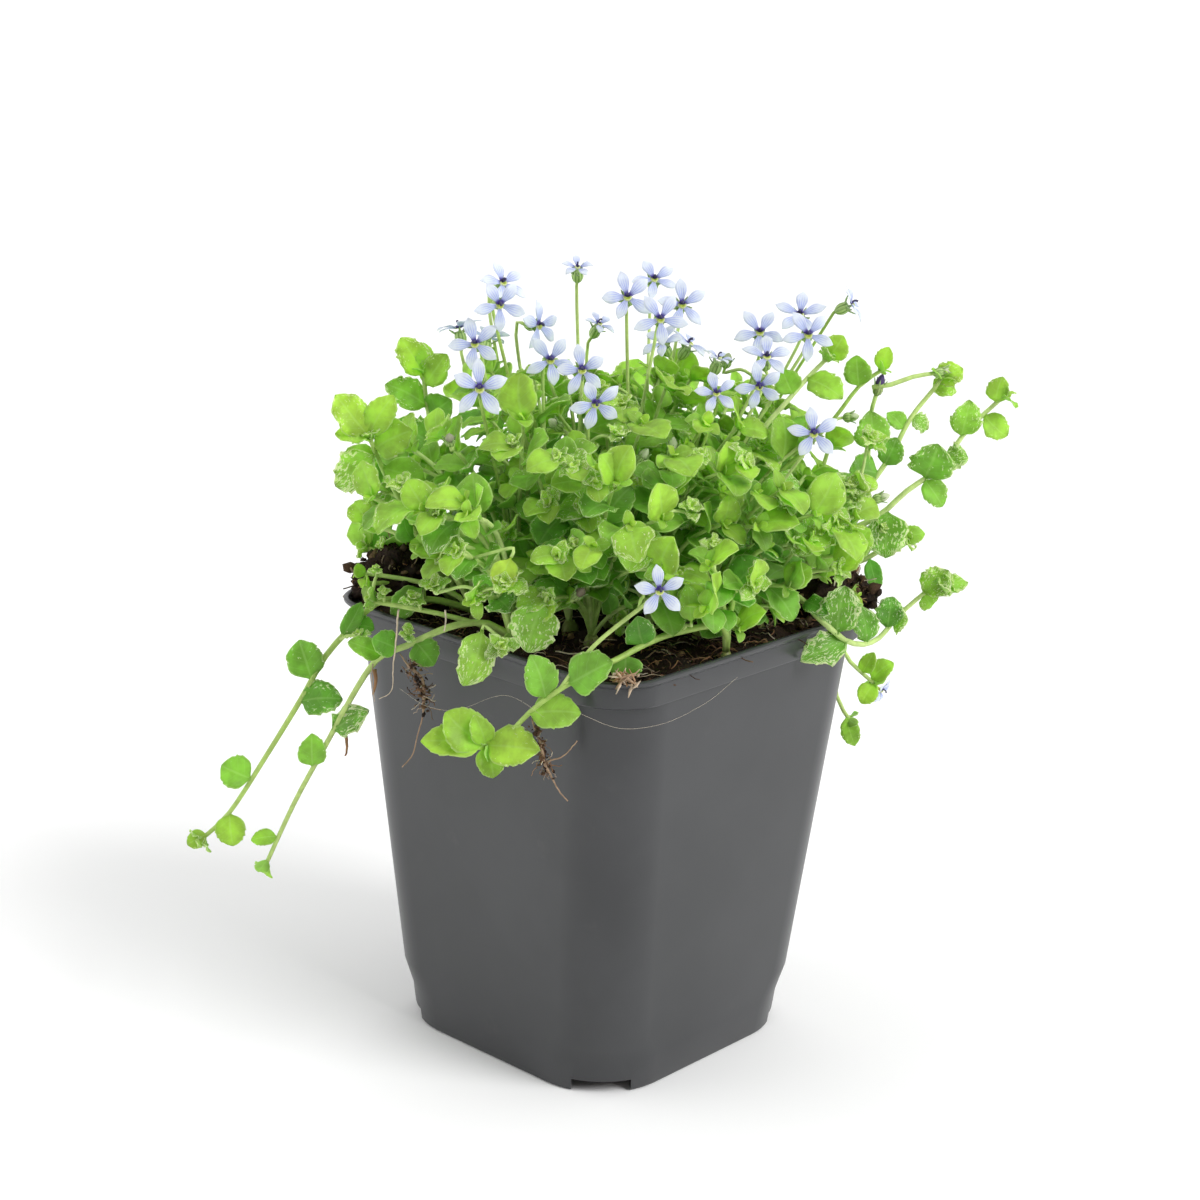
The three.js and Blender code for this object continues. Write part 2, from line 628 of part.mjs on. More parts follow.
// A thin plate: triangles over an outline, thickened along one direction. Points after the outline's
// are inside it.
function plate(points, triangles, face, thickness, edge = points.length) {
  const offset = (share) => points.map((point) => point.clone().addScaledVector(face, share * thickness));
  const under = points.length;
  const skins = triangles.flatMap(([a, b, c]) => [[a, b, c], [under + c, under + b, under + a]]);
  const rim = Array.from({ length: edge }, (unused, step) => {
    const next = (step + 1) % edge;
    return [[step, under + step, under + next], [step, under + next, next]];
  });
  return solid([...offset(0.5), ...offset(-0.5)], [...skins, ...rim.flat()]);
}

function bloomAxes(bloom) {
  const upright = Math.abs(bloom.face.z) < 0.95 ? UP : new THREE.Vector3(0, 1, 0);
  const top = upright.clone().addScaledVector(bloom.face, -upright.dot(bloom.face)).normalize();
  return { top, right: new THREE.Vector3().crossVectors(top, bloom.face) };
}

function petalPoint(bloom, axes, angle, radius, lift) {
  return bloom.centre
    .clone()
    .addScaledVector(axes.top, radius * Math.cos(angle))
    .addScaledVector(axes.right, radius * Math.sin(angle))
    .addScaledVector(bloom.face, lift);
}

function bloomSolid(bloom) {
  const axes = bloomAxes(bloom);
  const outline = [];
  const widest = PETAL_WIDEST * bloom.radius;
  const spread = Math.atan2(PETAL_HALF_WIDTH * (bloom.radius / PETAL_RADIUS), widest);
  for (let petal = 0; petal < PETALS; petal += 1) {
    const angle = bloom.turn + (petal * 2 * Math.PI) / PETALS;
    outline.push(
      petalPoint(bloom, axes, angle - Math.PI / PETALS, PETAL_NOTCH, 0.1),
      petalPoint(bloom, axes, angle - spread, widest, PETAL_LIFT),
      petalPoint(bloom, axes, angle, bloom.radius, PETAL_LIFT * 0.6),
      petalPoint(bloom, axes, angle + spread, widest, PETAL_LIFT),
    );
  }
  outline.reverse();
  const edge = outline.length;
  const fan = outline.map((unused, step) => [step, (step + 1) % edge, edge]);
  return plate([...outline, bloom.centre], fan, bloom.face, PETAL_THICKNESS, edge);
}

// Everything that has been placed, as balls that later pieces keep clear of
const placed = [];

function keep(balls, owner, stem) {
  balls.forEach((ball) => placed.push({ ...ball, owner, stem }));
}

function isClear(balls, ignores) {
  return balls.every((ball) => {
    const { x, y, z } = ball.point;
    if (z - ball.radius * SOIL_SINK < soilHeight(x, y) + GAP) {
      return false;
    }
    const outside = outsideRim(x, y);
    const overRim = outside > -RIM_WIDTH - ball.radius && outside < ball.radius + LIP_CLEARANCE;
    if (overRim && z < POT_HEIGHT + ball.radius) {
      return false;
    }
    const reaches = (other) => other.point.distanceTo(ball.point) <= other.radius + ball.radius;
    return placed.every((other) => ignores(other) || !reaches(other));
  });
}

function stemBalls(stem) {
  const path = smoothPath(stem.points, BALL_STEP);
  return path.map((point) => ({ point, radius: stem.thick + STEM_CLEARANCE }));
}

function leafBalls(leaf) {
  const axes = leafAxes(leaf);
  const radius = axes.length * LEAF_BALL;
  return LEAF_BALLS.map(([share, side]) => ({ point: bladePoint(leaf, axes, share, side), radius }));
}

function bloomBalls(bloom) {
  const axes = bloomAxes(bloom);
  const balls = [{ point: bloom.centre, radius: EYE_BALL }];
  for (let petal = 0; petal < PETALS; petal += 1) {
    const angle = bloom.turn + (petal * 2 * Math.PI) / PETALS;
    PETAL_BALLS.forEach(({ share, radius }) => {
      balls.push({ point: petalPoint(bloom, axes, angle, bloom.radius * share, PETAL_LIFT), radius });
    });
  }
  return balls;
}

// Crowns: the runners' own, then the tufts' on a sunflower pattern that leaves the runners room
function placeCrowns() {
  const runners = Object.entries(RUNNERS).map(([name, stems]) => {
    const [x, y] = stems[0].path[0];
    return { name, place: new THREE.Vector3(x, y, 0), radius: RUNNER_CROWN_RADIUS, stems: [], leaves: [] };
  });
  const tufts = [];
  for (let index = 0; tufts.length < TUFTS && index < TUFT_FIELD_POINTS; index += 1) {
    const reach = CROWN_FIELD * Math.sqrt((index + 0.5) / TUFT_FIELD_POINTS);
    const angle = index * GOLDEN_ANGLE;
    const place = new THREE.Vector3(reach * Math.cos(angle), reach * Math.sin(angle), 0);
    if (runners.every((runner) => runner.place.distanceTo(place) > CROWN_SPACING)) {
      const name = `tuft_${String(tufts.length + 1).padStart(2, "0")}`;
      tufts.push({ name, place, radius: CROWN_RADIUS, stems: [], leaves: [] });
    }
  }
  return { runners, tufts };
}

function addStem(crown, stem) {
  stem.id = `${crown.name}/${crown.stems.length}`;
  crown.stems.push(stem);
  keep(stemBalls(stem), crown.name, stem.id);
  return stem;
}

function addLeaf(crown, leaf, stem) {
  crown.leaves.push(leaf);
  keep(leafBalls(leaf), crown.name, stem.id);
}

function growRunner(crown) {
  RUNNERS[crown.name].forEach((stem, index) => {
    const grown = addStem(crown, {
      points: stem.path.map(vector),
      thick: index === 0 ? STEM_RADIUS : BRANCH_RADIUS,
      thin: STEM_TIP_RADIUS,
      ending: stem.bud ? "bud" : "tip",
      bud: stem.bud,
    });
    const path = smoothPath(grown.points, BALL_STEP);
    stem.leaves.forEach(([share, x, y, z, width]) => {
      const leaf = { base: along(path, share).point, tip: new THREE.Vector3(x, y, z), width, facing: VIEWER };
      addLeaf(crown, leaf, grown);
    });
  });
}

// A flower's stalk rises from a crown and bends over behind the star
function stalkTo(bloom, root) {
  const foot = bloom.centre.clone().addScaledVector(bloom.face, -(PETAL_THICKNESS / 2 + GAP + CALYX_LENGTH));
  const neck = foot.clone().addScaledVector(bloom.face, -STALK_NECK).addScaledVector(UP, -STALK_NECK);
  const bend = root.clone().lerp(neck, STALK_BEND.across).setZ(mix(root.z, neck.z, STALK_BEND.up));
  const points = [root, bend, neck, foot];
  return { points, thick: STALK_RADIUS, thin: STALK_RADIUS, ending: "calyx", facing: bloom.face };
}

function growStalk(bloom, crowns) {
  const owner = crowns.runners.find((crown) => crown.name === bloom.runner);
  if (owner) {
    const stalk = stalkTo(bloom, along(smoothPath(owner.stems[0].points, BALL_STEP), bloom.share).point);
    addStem(owner, stalk);
    return;
  }
  const spread = (crown) => crown.place.clone().multiplyScalar(STALK_SPREAD);
  const gap = (crown) => Math.hypot(spread(crown).x - bloom.centre.x, spread(crown).y - bloom.centre.y);
  const nearest = crowns.tufts.toSorted((one, other) => gap(one) - gap(other)).slice(0, STALK_CHOICES);
  const stalks = nearest.map((crown) => {
    const root = crown.place.clone().setZ(SHOOT_FOOT);
    return { crown, stalk: stalkTo(bloom, root) };
  });
  const free = stalks.find(({ crown, stalk }) =>
    isClear(stemBalls(stalk).slice(2), (other) => other.owner === crown.name || other.owner === bloom.name));
  const choice = free ?? stalks[0];
  addStem(choice.crown, choice.stalk);
}

function moundTop(x, y) {
  return MOUND_TOP - MOUND_FALL * (x * x + y * y);
}

function shootFrom(crown, habit, swing) {
  const root = crown.place.clone().setZ(SHOOT_FOOT);
  const angle = Math.atan2(root.y, root.x) + swing;
  const outward = Math.hypot(root.x, root.y) * habit.spread + SHOOT_REACH.least + SHOOT_REACH.more * random();
  const reach = Math.min(outward, MOUND_REACH);
  const x = reach * Math.cos(angle);
  const y = reach * Math.sin(angle);
  const rise = (moundTop(x, y) - root.z) * habit.rise + SHOOT_RISE.least + SHOOT_RISE.more * random();
  const points = [0, 1 / 3, 2 / 3, 1].map((share) => {
    const height = root.z + rise * (1 - (1 - share) ** habit.curve);
    return root.clone().lerp(new THREE.Vector3(x, y, 0), share ** habit.curve).setZ(height);
  });
  return { points, thick: STEM_RADIUS, thin: STEM_TIP_RADIUS, ending: "tip" };
}

function growShoots(crown) {
  const habits = crown.place.length() < INNER_FIELD ? SHOOTS.slice(0, INNER_SHOOTS) : SHOOTS;
  habits.forEach((habit) => {
    for (let attempt = 0; attempt < SHOOT_TRIES; attempt += 1) {
      const reach = crown.place.length() + SHOOT_SWING.reach;
      const swing = ((random() - 0.5) * (SHOOT_SWING.first + SHOOT_SWING.more * attempt)) / reach;
      const shoot = shootFrom(crown, habit, swing);
      if (isClear(stemBalls(shoot).slice(3), (other) => other.owner === crown.name)) {
        addStem(crown, shoot);
        return;
      }
    }
  });
}

// A leaf at a share of a shoot's length, swung round the shoot until it is clear
function leafOn(path, share, turn, length) {
  const { point, direction } = along(path, share);
  const outward = new THREE.Vector3(point.x, point.y, 0).normalize();
  const first = new THREE.Vector3().crossVectors(direction, UP).normalize();
  const second = new THREE.Vector3().crossVectors(first, direction);
  const forward = first.multiplyScalar(Math.cos(turn)).addScaledVector(second, Math.sin(turn));
  forward.addScaledVector(direction, LEAF_LEAN.along).addScaledVector(outward, LEAF_LEAN.out).normalize();
  const facing = outward.clone().multiplyScalar(LEAF_FACING.out).addScaledVector(UP, LEAF_FACING.up);
  facing.addScaledVector(forward, -facing.dot(forward)).normalize();
  const tip = point.clone().addScaledVector(forward, length);
  return { base: point, tip, width: length * LEAF_SHAPE, facing };
}

function growLeaf(crown, stem, path, share) {
  const start = random() * 2 * Math.PI;
  const full = mix(LEAF_LENGTH, LEAF_TIP_LENGTH, share) * (LEAF_VARIETY.least + LEAF_VARIETY.more * random());
  for (let attempt = 0; attempt < LEAF_TRIES; attempt += 1) {
    const length = full * (1 - LEAF_SHRINK * attempt);
    const leaf = leafOn(path, share, start + attempt * LEAF_SWING, length);
    if (isClear(leafBalls(leaf), (other) => other.stem === stem.id)) {
      addLeaf(crown, leaf, stem);
      return;
    }
  }
}

function growFoliage(crown) {
  crown.stems.filter((stem) => stem.ending === "tip").forEach((stem) => {
    const path = smoothPath(stem.points, BALL_STEP);
    const length = pathLength(path);
    for (let back = 1; back < length * LEAFY_SHARE; back += LEAF_SPACING) {
      growLeaf(crown, stem, path, 1 - back / length);
    }
  });
}

function crownBody(crown) {
  const stems = crown.stems.map(stemSolid);
  const leaves = crown.leaves.map(bladeSolid);
  return fuse([peg(crown.place, crown.radius, ROOT_DEPTH, CROWN_TOP), ...stems, ...leaves]);
}

function rootBody(branches) {
  return fuse(branches.map((branch) => tube(branch.path.map(vector), branch.radii, ROOT_SIDES)));
}

const blooms = BLOOMS.map((bloom, index) => ({
  ...bloom,
  name: `bloom_${String(index + 1).padStart(2, "0")}`,
  centre: vector(bloom.at),
  face: vector(bloom.faces).normalize(),
  turn: THREE.MathUtils.degToRad(bloom.turn),
  radius: bloom.radius ?? PETAL_RADIUS,
}));
const crowns = placeCrowns();
blooms.forEach((bloom) => keep(bloomBalls(bloom), bloom.name, bloom.name));
crowns.runners.forEach(growRunner);
blooms.forEach((bloom) => growStalk(bloom, crowns));
crowns.tufts.forEach(growShoots);
crowns.tufts.forEach(growFoliage);

const plant = new THREE.Group();
plant.rotation.z = PLANT_TURN;
crowns.runners.forEach((crown) => {
  plant.add(meshOf(`runner_${crown.name}`, crownBody(crown), COLOURS.runner, 0.5));
});
crowns.tufts.forEach((crown) => {
  plant.add(meshOf(crown.name, crownBody(crown), COLOURS.leaf, 0.5));
});
blooms.forEach((bloom) => {
  plant.add(meshOf(bloom.name, bloomSolid(bloom), COLOURS.petal, 0.6));
});
Object.entries(ROOTS).forEach(([name, branches]) => {
  plant.add(meshOf(name, rootBody(branches), COLOURS.root, 0.9));
});

const object = new THREE.Group();
object.add(meshOf("pot", potBody(), COLOURS.pot, 0.4));
object.add(meshOf("soil", soilBody([...crowns.runners, ...crowns.tufts]), COLOURS.soil, 0.95));
object.add(plant);

export default object;
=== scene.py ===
# Potted blue star creeper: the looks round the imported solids. Lengths are in millimetres and places in
# the plant's own frame, which is the row's frame turned about Z, until a mesh is made.
import functools
import math

import bpy
import numpy as np
from mathutils import Matrix, Vector, noise


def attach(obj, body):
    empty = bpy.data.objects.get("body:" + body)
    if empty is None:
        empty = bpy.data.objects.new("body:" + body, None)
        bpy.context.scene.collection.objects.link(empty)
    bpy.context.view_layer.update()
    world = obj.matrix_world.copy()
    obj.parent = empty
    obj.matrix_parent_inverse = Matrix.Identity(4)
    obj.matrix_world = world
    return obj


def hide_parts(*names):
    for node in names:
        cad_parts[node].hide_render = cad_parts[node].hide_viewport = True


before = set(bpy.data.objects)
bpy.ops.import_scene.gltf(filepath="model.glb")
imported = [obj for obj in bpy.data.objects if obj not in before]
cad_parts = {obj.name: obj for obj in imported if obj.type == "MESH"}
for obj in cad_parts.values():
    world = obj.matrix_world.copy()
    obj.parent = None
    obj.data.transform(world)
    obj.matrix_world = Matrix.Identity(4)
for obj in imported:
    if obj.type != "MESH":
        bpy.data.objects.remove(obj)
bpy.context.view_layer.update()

# Frame
MM = 0.001
PLANT_TURN = math.radians(-47.9)
TURN_COS, TURN_SIN = math.cos(PLANT_TURN), math.sin(PLANT_TURN)
UP = np.array([0.0, 0.0, 1.0])

# Camera, in the plant's frame
CAMERA_TARGET = (-1.73, 0.0, 99.81)
CAMERA_DISTANCE = 563.9
CAMERA_ELEVATION = 0.29286
CAMERA_ROLL = 0.0332
CAMERA_FOCUS = 2542.6
PHOTO_SIDE = 1200
SENSOR = 36.0

# Pot
POT_HEIGHT = 100
RIM_HALF = 44.5
BAND_HALF = 43.5
WALL_TOP_HALF = 42.6
BASE_HALF = 34
RIM_CORNER = 11
WALL_CORNER = 15
FOOT_CORNER = 17
SHOULDER_CORNER = 14
BAND_CORNER = 12
FOOT_CHAMFER = 0.7
LIP_HEIGHT = 1.8
LIP_EDGE = 0.8
BAND_HEIGHT = 6.5
BAND_STEP = 0.3
BAND_RELIEF = 0.8
FOOT_TOP = 8
FOOT_SHOULDER = 14
WALL_THICKNESS = 1.2
FLOOR_THICKNESS = 2
DRAIN_WIDTH = 13
DRAIN_HEIGHT = 3
DRAIN_INNER_REACH = 32
DRAIN_OUTER_REACH = 46
CORNER_STEPS = 14
RIM_ROUND = 0.3
FOOT_ROUND = 0.2

# Peat
GAP = 0.35
SOIL_LEVEL = 96.2
SOIL_EDGE_LEVEL = 95
SOIL_RIPPLES = {"coarse": 0.8, "fine": 0.5}
SOIL_HEAPS = [(-46, 3, 7.5, 6.5), (47, 4, 7, 6.5), (4, 46, 3, 7)]

# Plant
SEED = 20261
GOLDEN_ANGLE = math.pi * (3 - math.sqrt(5))
ROOT_DEPTH = 94.6
CROWN_RADIUS = 2.1
RUNNER_CROWN_RADIUS = 1.4
CROWN_FIELD = 33
CROWN_SPACING = 6.6
TUFTS = 17
TUFT_FIELD_POINTS = 26
SHOOT_FOOT = 99
SHOOT_TRIES = 14
INNER_FIELD = 16
INNER_SHOOTS = 2
SHOOTS = [(1.5, 1, 1.4), (1.66, 0.74, 1.5), (1.5, 0.42, 1.7)]
MOUND_TOP = 151
MOUND_FALL = 0.0068
MOUND_REACH = 54
STEM_RADIUS = 0.85
STEM_TIP_RADIUS = 0.5
STALK_RADIUS = 0.5
BRANCH_RADIUS = 0.6
STALK_NECK = 2.5
STALK_SPREAD = 1.45
STALK_CHOICES = 6
BLADE_FOLD = 0.22
BLADE_ARCH = 0.07
LEAF_LENGTH = 10.6
LEAF_TIP_LENGTH = 7
LEAF_SHAPE = 0.94
LEAF_SPACING = 9
LEAF_TRIES = 8
LEAFY_SHARE = 0.62
BALL_STEP = 2
STEM_CLEARANCE = 0.4
LEAF_BALL = 0.15
LEAF_BALLS = [(0.2, 0), (0.3, 0.5), (0.3, -0.5), (0.45, 0), (0.52, 0.72), (0.52, -0.72), (0.62, 0.3),
              (0.62, -0.3), (0.74, 0.6), (0.74, -0.6), (0.8, 0), (0.95, 0)]
PETALS = 5
PETAL_RADIUS = 5.8
PETAL_HALF_WIDTH = 1.45
PETAL_LIFT = 0.7
PETAL_THICKNESS = 0.6
CALYX_LENGTH = 3.4

# Flowers: middle, way it faces, turn of the first petal from upright, radius, then runner and share
BLOOMS = [
    ((-28, -25, 152), (0, -0.95, 0.3), 0, 6.3),
    ((-30, -8, 158), (-0.2, -0.9, 0.35), -26, 5.8),
    ((-28, 5, 157), (0.15, 0.5, 0.85), 0, 5.2),
    ((-25, 5, 169), (0.45, -0.6, 0.65), 0, 5.6),
    ((-25, -7, 166.4), (0.25, -0.95, 0.05), 36, 5.6),
    ((-35, 15, 157), (-0.25, 0.3, 0.9), 20, 5.6),
    ((-17, 5, 160), (0.75, -0.62, 0.1), 0, 5.8),
    ((-14, -8, 155), (0.25, -0.9, 0.3), -38, 5.8),
    ((-9, 10, 172), (0, -0.5, 0.85), 0, 3.7),
    ((-7, -22, 156), (0, -0.95, 0.3), -15, 5.6),
    ((-4, -31, 151), (0.25, -0.95, -0.1), 50, 5.6),
    ((-4, 30, 156), (0.4, -0.35, 0.85), 10, 3.9),
    ((2, -2, 168), (0, -0.87, 0.5), -20, 5.8),
    ((8, 22, 168), (0.1, -0.75, 0.65), -25, 5.4),
    ((14, 8, 165), (0.05, -0.9, 0.4), -12, 5.8),
    ((9, -10, 165), (0.1, -0.93, 0.3), 30, 5.8),
    ((10, 6, 157), (-0.35, -0.45, 0.8), 0, 5.2),
    ((16, 10, 156), (0.5, -0.1, 0.85), 0, 5.4),
    ((22, -5, 156), (0.3, -0.15, 0.94), 0, 3.3),
    ((21, -22, 152), (0, -0.85, 0.5), -18, 4.7),
    ((31, 5, 160), (-0.05, -0.78, 0.6), -36, 5.8),
    ((32, -7, 157), (0.05, -0.6, 0.8), 0, 5.8),
    ((30, -18, 153), (0.1, -0.98, -0.1), -20, 5.4),
    ((40, 12, 163), (-0.1, -0.75, 0.65), 0, 5.8),
    ((41, -1, 161), (0.05, -0.92, 0.35), 36, 5.8),
    ((51, 10, 166), (0.82, -0.15, 0.45), 30, 4.6),
    ((41, -30, 146), (0, -0.97, 0.2), -9, 5.6),
    ((10, -56, 119), (0.2, -0.95, 0.15), -4, 5.6, "front", 0.71),
]

# Runners: each stem's path, its leaves as share along the stem, tip and width, and a bud's length
RUNNERS = {
    "left_upper": [
        ([(-29, -11, 99.6), (-36, -12, 102), (-45, -13, 102.5), (-50, -15.5, 102), (-54, -18.5, 98.5),
          (-60, -22, 92), (-65, -25, 83), (-72, -27, 71), (-80, -29, 58), (-86, -30, 52)],
         [(0.51, -66, -21, 95, 8), (0.57, -56, -27, 84, 7.5), (0.8, -82, -27, 68, 7.5),
          (0.9, -79, -31, 51, 6.5), (0.98, -89, -31, 51, 4), (0.38, -53, -18, 103, 4),
          (0.34, -50, -20, 98, 5)]),
    ],
    "left_lower": [
        ([(-20, -29, 99.6), (-25, -29, 102.5), (-31, -30, 102.5), (-36, -31.5, 101), (-42, -32, 98),
          (-47, -31, 95.5), (-50, -30, 92), (-54, -30, 85), (-60, -30, 73), (-66, -30, 61), (-72, -31, 47)],
         [(0.26, -36, -35, 95, 6.5), (0.6, -50, -31, 83, 6.5), (0.71, -62, -31, 77, 6),
          (0.92, -75, -32, 53, 3.6), (0.31, -49, -34, 100, 6), (0.35, -54, -33, 99, 5)]),
    ],
    "front": [
        ([(25, -33, 99.6), (24, -36, 106), (14, -42, 106), (8, -47, 105), (2, -52, 103),
          (-3, -56, 101.8), (-9, -57.5, 98.3), (-15, -57, 93), (-20, -56, 87), (-24, -55.5, 85)],
         [(0.76, -15, -57, 105, 7), (0.68, 1, -59, 105, 9), (0.83, -5, -59, 94, 7.5),
          (1, -32, -56, 92, 9), (1, -37, -57, 86, 7), (1, -13, -60, 86, 8.5), (1, -22, -58, 79, 6),
          (1, -26, -58, 92, 5), (0.47, 4, -52, 99, 7), (0.4, 6, -49, 111, 6.5)]),
    ],
    "right": [
        ([(33, -8, 99.6), (38, -6, 105), (42, -10, 104.5), (45, -15, 102.5), (48.5, -16.5, 99.8),
          (51.5, -15, 97), (56, -11, 95), (60, -6.5, 95.3), (63, -2, 97.3), (66, 0, 100), (71, 2, 104),
          (73, 2, 105)],
         [(0.43, 51, -14, 109, 9), (0.24, 47, -18, 104, 4.5), (0.49, 42, -20, 94, 7),
          (0.6, 55, -9, 103, 6), (0.78, 66, -4, 99, 6.5), (0.74, 63, 0, 103, 6), (0.94, 75, 1, 109, 7),
          (0.97, 80, 3, 106, 4.5), (0.94, 72, 2, 100, 5)]),
    ],
    "back_right": [
        ([(27.5, 23.5, 99.6), (34, 27, 103.5), (43, 30, 104), (50, 31, 100.8), (54, 31, 90),
          (56, 31, 80), (60, 32, 75), (64, 33, 71.5)],
         [(0.93, 63, 30, 80, 4), (0.98, 68, 33, 77, 5.5), (1, 61, 31, 67, 5)]),
        ([(54, 31, 90), (54, 30, 80), (55, 30, 69), (58.5, 30, 63)], [(0.94, 60, 29, 57, 4.5)]),
    ],
    "upper_right": [
        ([(27, -4, 99.6), (34, -3, 106), (42, -2, 111), (50, 0, 122), (56, 2, 127), (61, 4, 134),
          (65, 6, 142), (70, 9, 148), (72, 9, 151)],
         [(0.97, 76, 9, 153, 6), (0.94, 75, 12, 149, 5.5), (0.66, 62, 4, 138, 5.5),
          (0.79, 60, 7, 143, 4.5), (0.84, 69, 8, 139, 4.5), (0.63, 52, 1, 131, 8)]),
        ([(56, 2, 127), (56, 4, 135), (56, 5, 142), (57, 5, 147)], [(0.4, 56, 2, 144, 8)], 5),
        ([(50, 0, 122), (54, -1, 124), (57, -1, 125)], [], 4),
    ],
    "far_right": [
        ([(37, 2, 99.6), (42, 3, 109), (50, 4, 115), (59, 4, 120), (65, 4, 126), (72, 6, 131),
          (77, 8, 138), (82, 10, 143), (86, 10, 147)],
         [(0.48, 61, 2, 111, 9), (0.63, 71, 3, 137, 9.5), (0.63, 73, 3, 123, 6), (0.72, 78, 5, 134, 6),
          (0.81, 78, 7, 146, 7), (0.91, 87, 9, 138, 6), (0.96, 85, 10, 151, 5), (0.35, 57, 1, 112, 6)]),
    ],
    "top_right": [
        ([(20, 4, 99.6), (24, 2, 116), (28, -1, 130), (32, -3, 140), (37, -1, 146), (40, 2, 149),
          (43, 4, 152), (46, 5, 155)],
         [(0.82, 36, 0, 153, 6), (0.9, 49, -2, 148, 7), (1, 49, 4, 160, 6)]),
        ([(22, 3, 108), (27, 3, 116), (33, 2, 126), (41, 2, 134), (48, 3, 142), (53, 4, 149), (58, 4, 153)],
         [(0.89, 52, 3, 156, 6), (0.99, 59, 4, 158, 4), (0.63, 38, 0, 141, 7)]),
        ([(57, 4, 152), (60, 5, 156), (64, 7, 158), (67, 8, 158)], [], 5),
    ],
    "left_spray": [
        ([(-34, -3, 99.6), (-38, -4, 108), (-43, -6, 117), (-46, -8, 124), (-49, -10, 130), (-52, -12, 138)],
         [(1, -59, -12, 147, 8), (1, -47, -12, 147, 6.5), (0.93, -43, -13, 140, 9),
          (0.9, -59, -13, 127, 8.5), (1, -59, -14, 139, 4), (0.82, -40, -12, 128, 7.5)]),
    ],
    "left_tall": [
        ([(-28, 4, 99.6), (-33, 5, 113), (-38, 5, 128), (-41, 6, 141), (-42, 6, 149)],
         [(0.97, -47, 6, 156, 7), (0.93, -37, 5, 153, 6.5), (0.84, -50, 5, 146, 7),
          (0.78, -36, 4, 143, 8), (0.66, -49, 4, 137, 8), (1, -42, 7, 155, 4)]),
    ],
    "back_small": [
        ([(44, 15, 99.6), (50, 15, 104), (58, 15, 107), (64, 14, 112), (66, 14, 113)],
         [(0.95, 71, 14, 114, 4.5), (0.65, 61, 13, 100, 4)]),
    ],
}
ROOTS = {
    "root_left": [
        ([(-43.3, -33.2, 96.6), (-41.5, -36.5, 95.4), (-38.5, -38.3, 93), (-38, -38, 89), (-38, -38, 85),
          (-39, -38, 81), (-40, -38, 76), (-42, -37.5, 73)],
         [0.4, 0.7, 2.1, 1.7, 0.6, 0.4, 0.4, 0.35]),
    ],
    "root_front": [
        ([(-14.7, -57, 91.6), (-13, -57.5, 87), (-12, -57.5, 82.5), (-11, -57, 80), (-9, -57, 76.5),
          (-7, -57, 74)],
         [0.5, 1, 1.4, 0.9, 0.5, 0.35]),
        ([(-12, -57.5, 82.5), (-8, -57.3, 84), (-5.5, -57, 87)], [0.8, 0.5, 0.35]),
    ],
}
FACES_VIEWER = np.array([0, -0.8, 0.6])


# Small tools

def unit(vector):
    return vector / np.linalg.norm(vector)


def mix(low, high, share):
    return low + (high - low) * share


def to_row(points):
    """From the plant's frame in millimetres to the row's frame in metres."""
    return points @ np.array([[TURN_COS, TURN_SIN, 0], [-TURN_SIN, TURN_COS, 0], [0, 0, 1]]) * MM


def pot_to_plant(points):
    """From a frame along the pot's sides to the plant's frame."""
    return points @ np.array([[TURN_COS, -TURN_SIN, 0], [TURN_SIN, TURN_COS, 0], [0, 0, 1]])


def axes_across(direction, nudge=(0.013, 0.007, 0)):
    """Two directions square to a direction and to each other."""
    side = unit(np.cross(direction, UP + np.array(nudge)))
    return side, np.cross(direction, side)


def round_axes(side, up, turn):
    return side * math.cos(turn) + up * math.sin(turn)


def places_on(rows, across):
    """Place along and across a part for each point of its sheet."""
    return np.stack(np.broadcast_arrays(rows, across), 2)


def smooth_path(points, step):
    """A smooth path through points, with a point about every step."""
    points = np.array(points, float)
    last = len(points) - 1
    path = []
    for index in range(last):
        before, start = points[max(index - 1, 0)], points[index]
        end, after = points[index + 1], points[min(index + 2, last)]
        pieces = max(1, math.floor(np.linalg.norm(end - start) / step + 0.5))
        for piece in range(pieces):
            share = piece / pieces
            square, cube = share**2, share**3
            path.append(start * (1 - 2.5 * square + 1.5 * cube) + before * (square - 0.5 * (share + cube))
                        + end * (0.5 * share + 2 * square - 1.5 * cube) + after * (0.5 * (cube - square)))
    return np.array([*path, points[last]])


def lengths(path):
    return np.linalg.norm(np.diff(path, axis=0), axis=1)


def along(path, share):
    """The point and direction at a share of a path's length."""
    pieces = lengths(path)
    left = share * pieces.sum()
    for index, piece in enumerate(pieces):
        if left <= piece or index == len(pieces) - 1:
            step = path[index + 1] - path[index]
            return path[index] + step * min(left / piece, 1), unit(step)
        left -= piece


# Camera

def place_camera():
    sin, cos = math.sin(CAMERA_ELEVATION), math.cos(CAMERA_ELEVATION)
    right, forward, upward = np.array([1, 0, 0]), np.array([0, cos, -sin]), np.array([0, sin, cos])
    tilt_sin, tilt_cos = math.sin(CAMERA_ROLL), math.cos(CAMERA_ROLL)
    axes = np.array([right * tilt_cos + upward * tilt_sin, upward * tilt_cos - right * tilt_sin, -forward])
    place = np.array(CAMERA_TARGET) - forward * CAMERA_DISTANCE
    turned = to_row(axes) / MM
    camera = bpy.data.objects.new("camera", bpy.data.cameras.new("camera"))
    camera.data.sensor_width = SENSOR
    camera.data.lens = CAMERA_FOCUS * SENSOR / PHOTO_SIDE
    camera.data.clip_start = 0.01
    camera.matrix_world = Matrix([[*turned[:, row], to_row(place)[row]] for row in range(3)] + [[0, 0, 0, 1]])
    bpy.context.scene.collection.objects.link(camera)
    bpy.context.scene.camera = camera


place_camera()


# Layout: the same rule and the same draws as the solids

random_state = SEED


def random():
    global random_state
    random_state = (random_state * 1664525 + 1013904223) % 4294967296
    return random_state / 4294967296


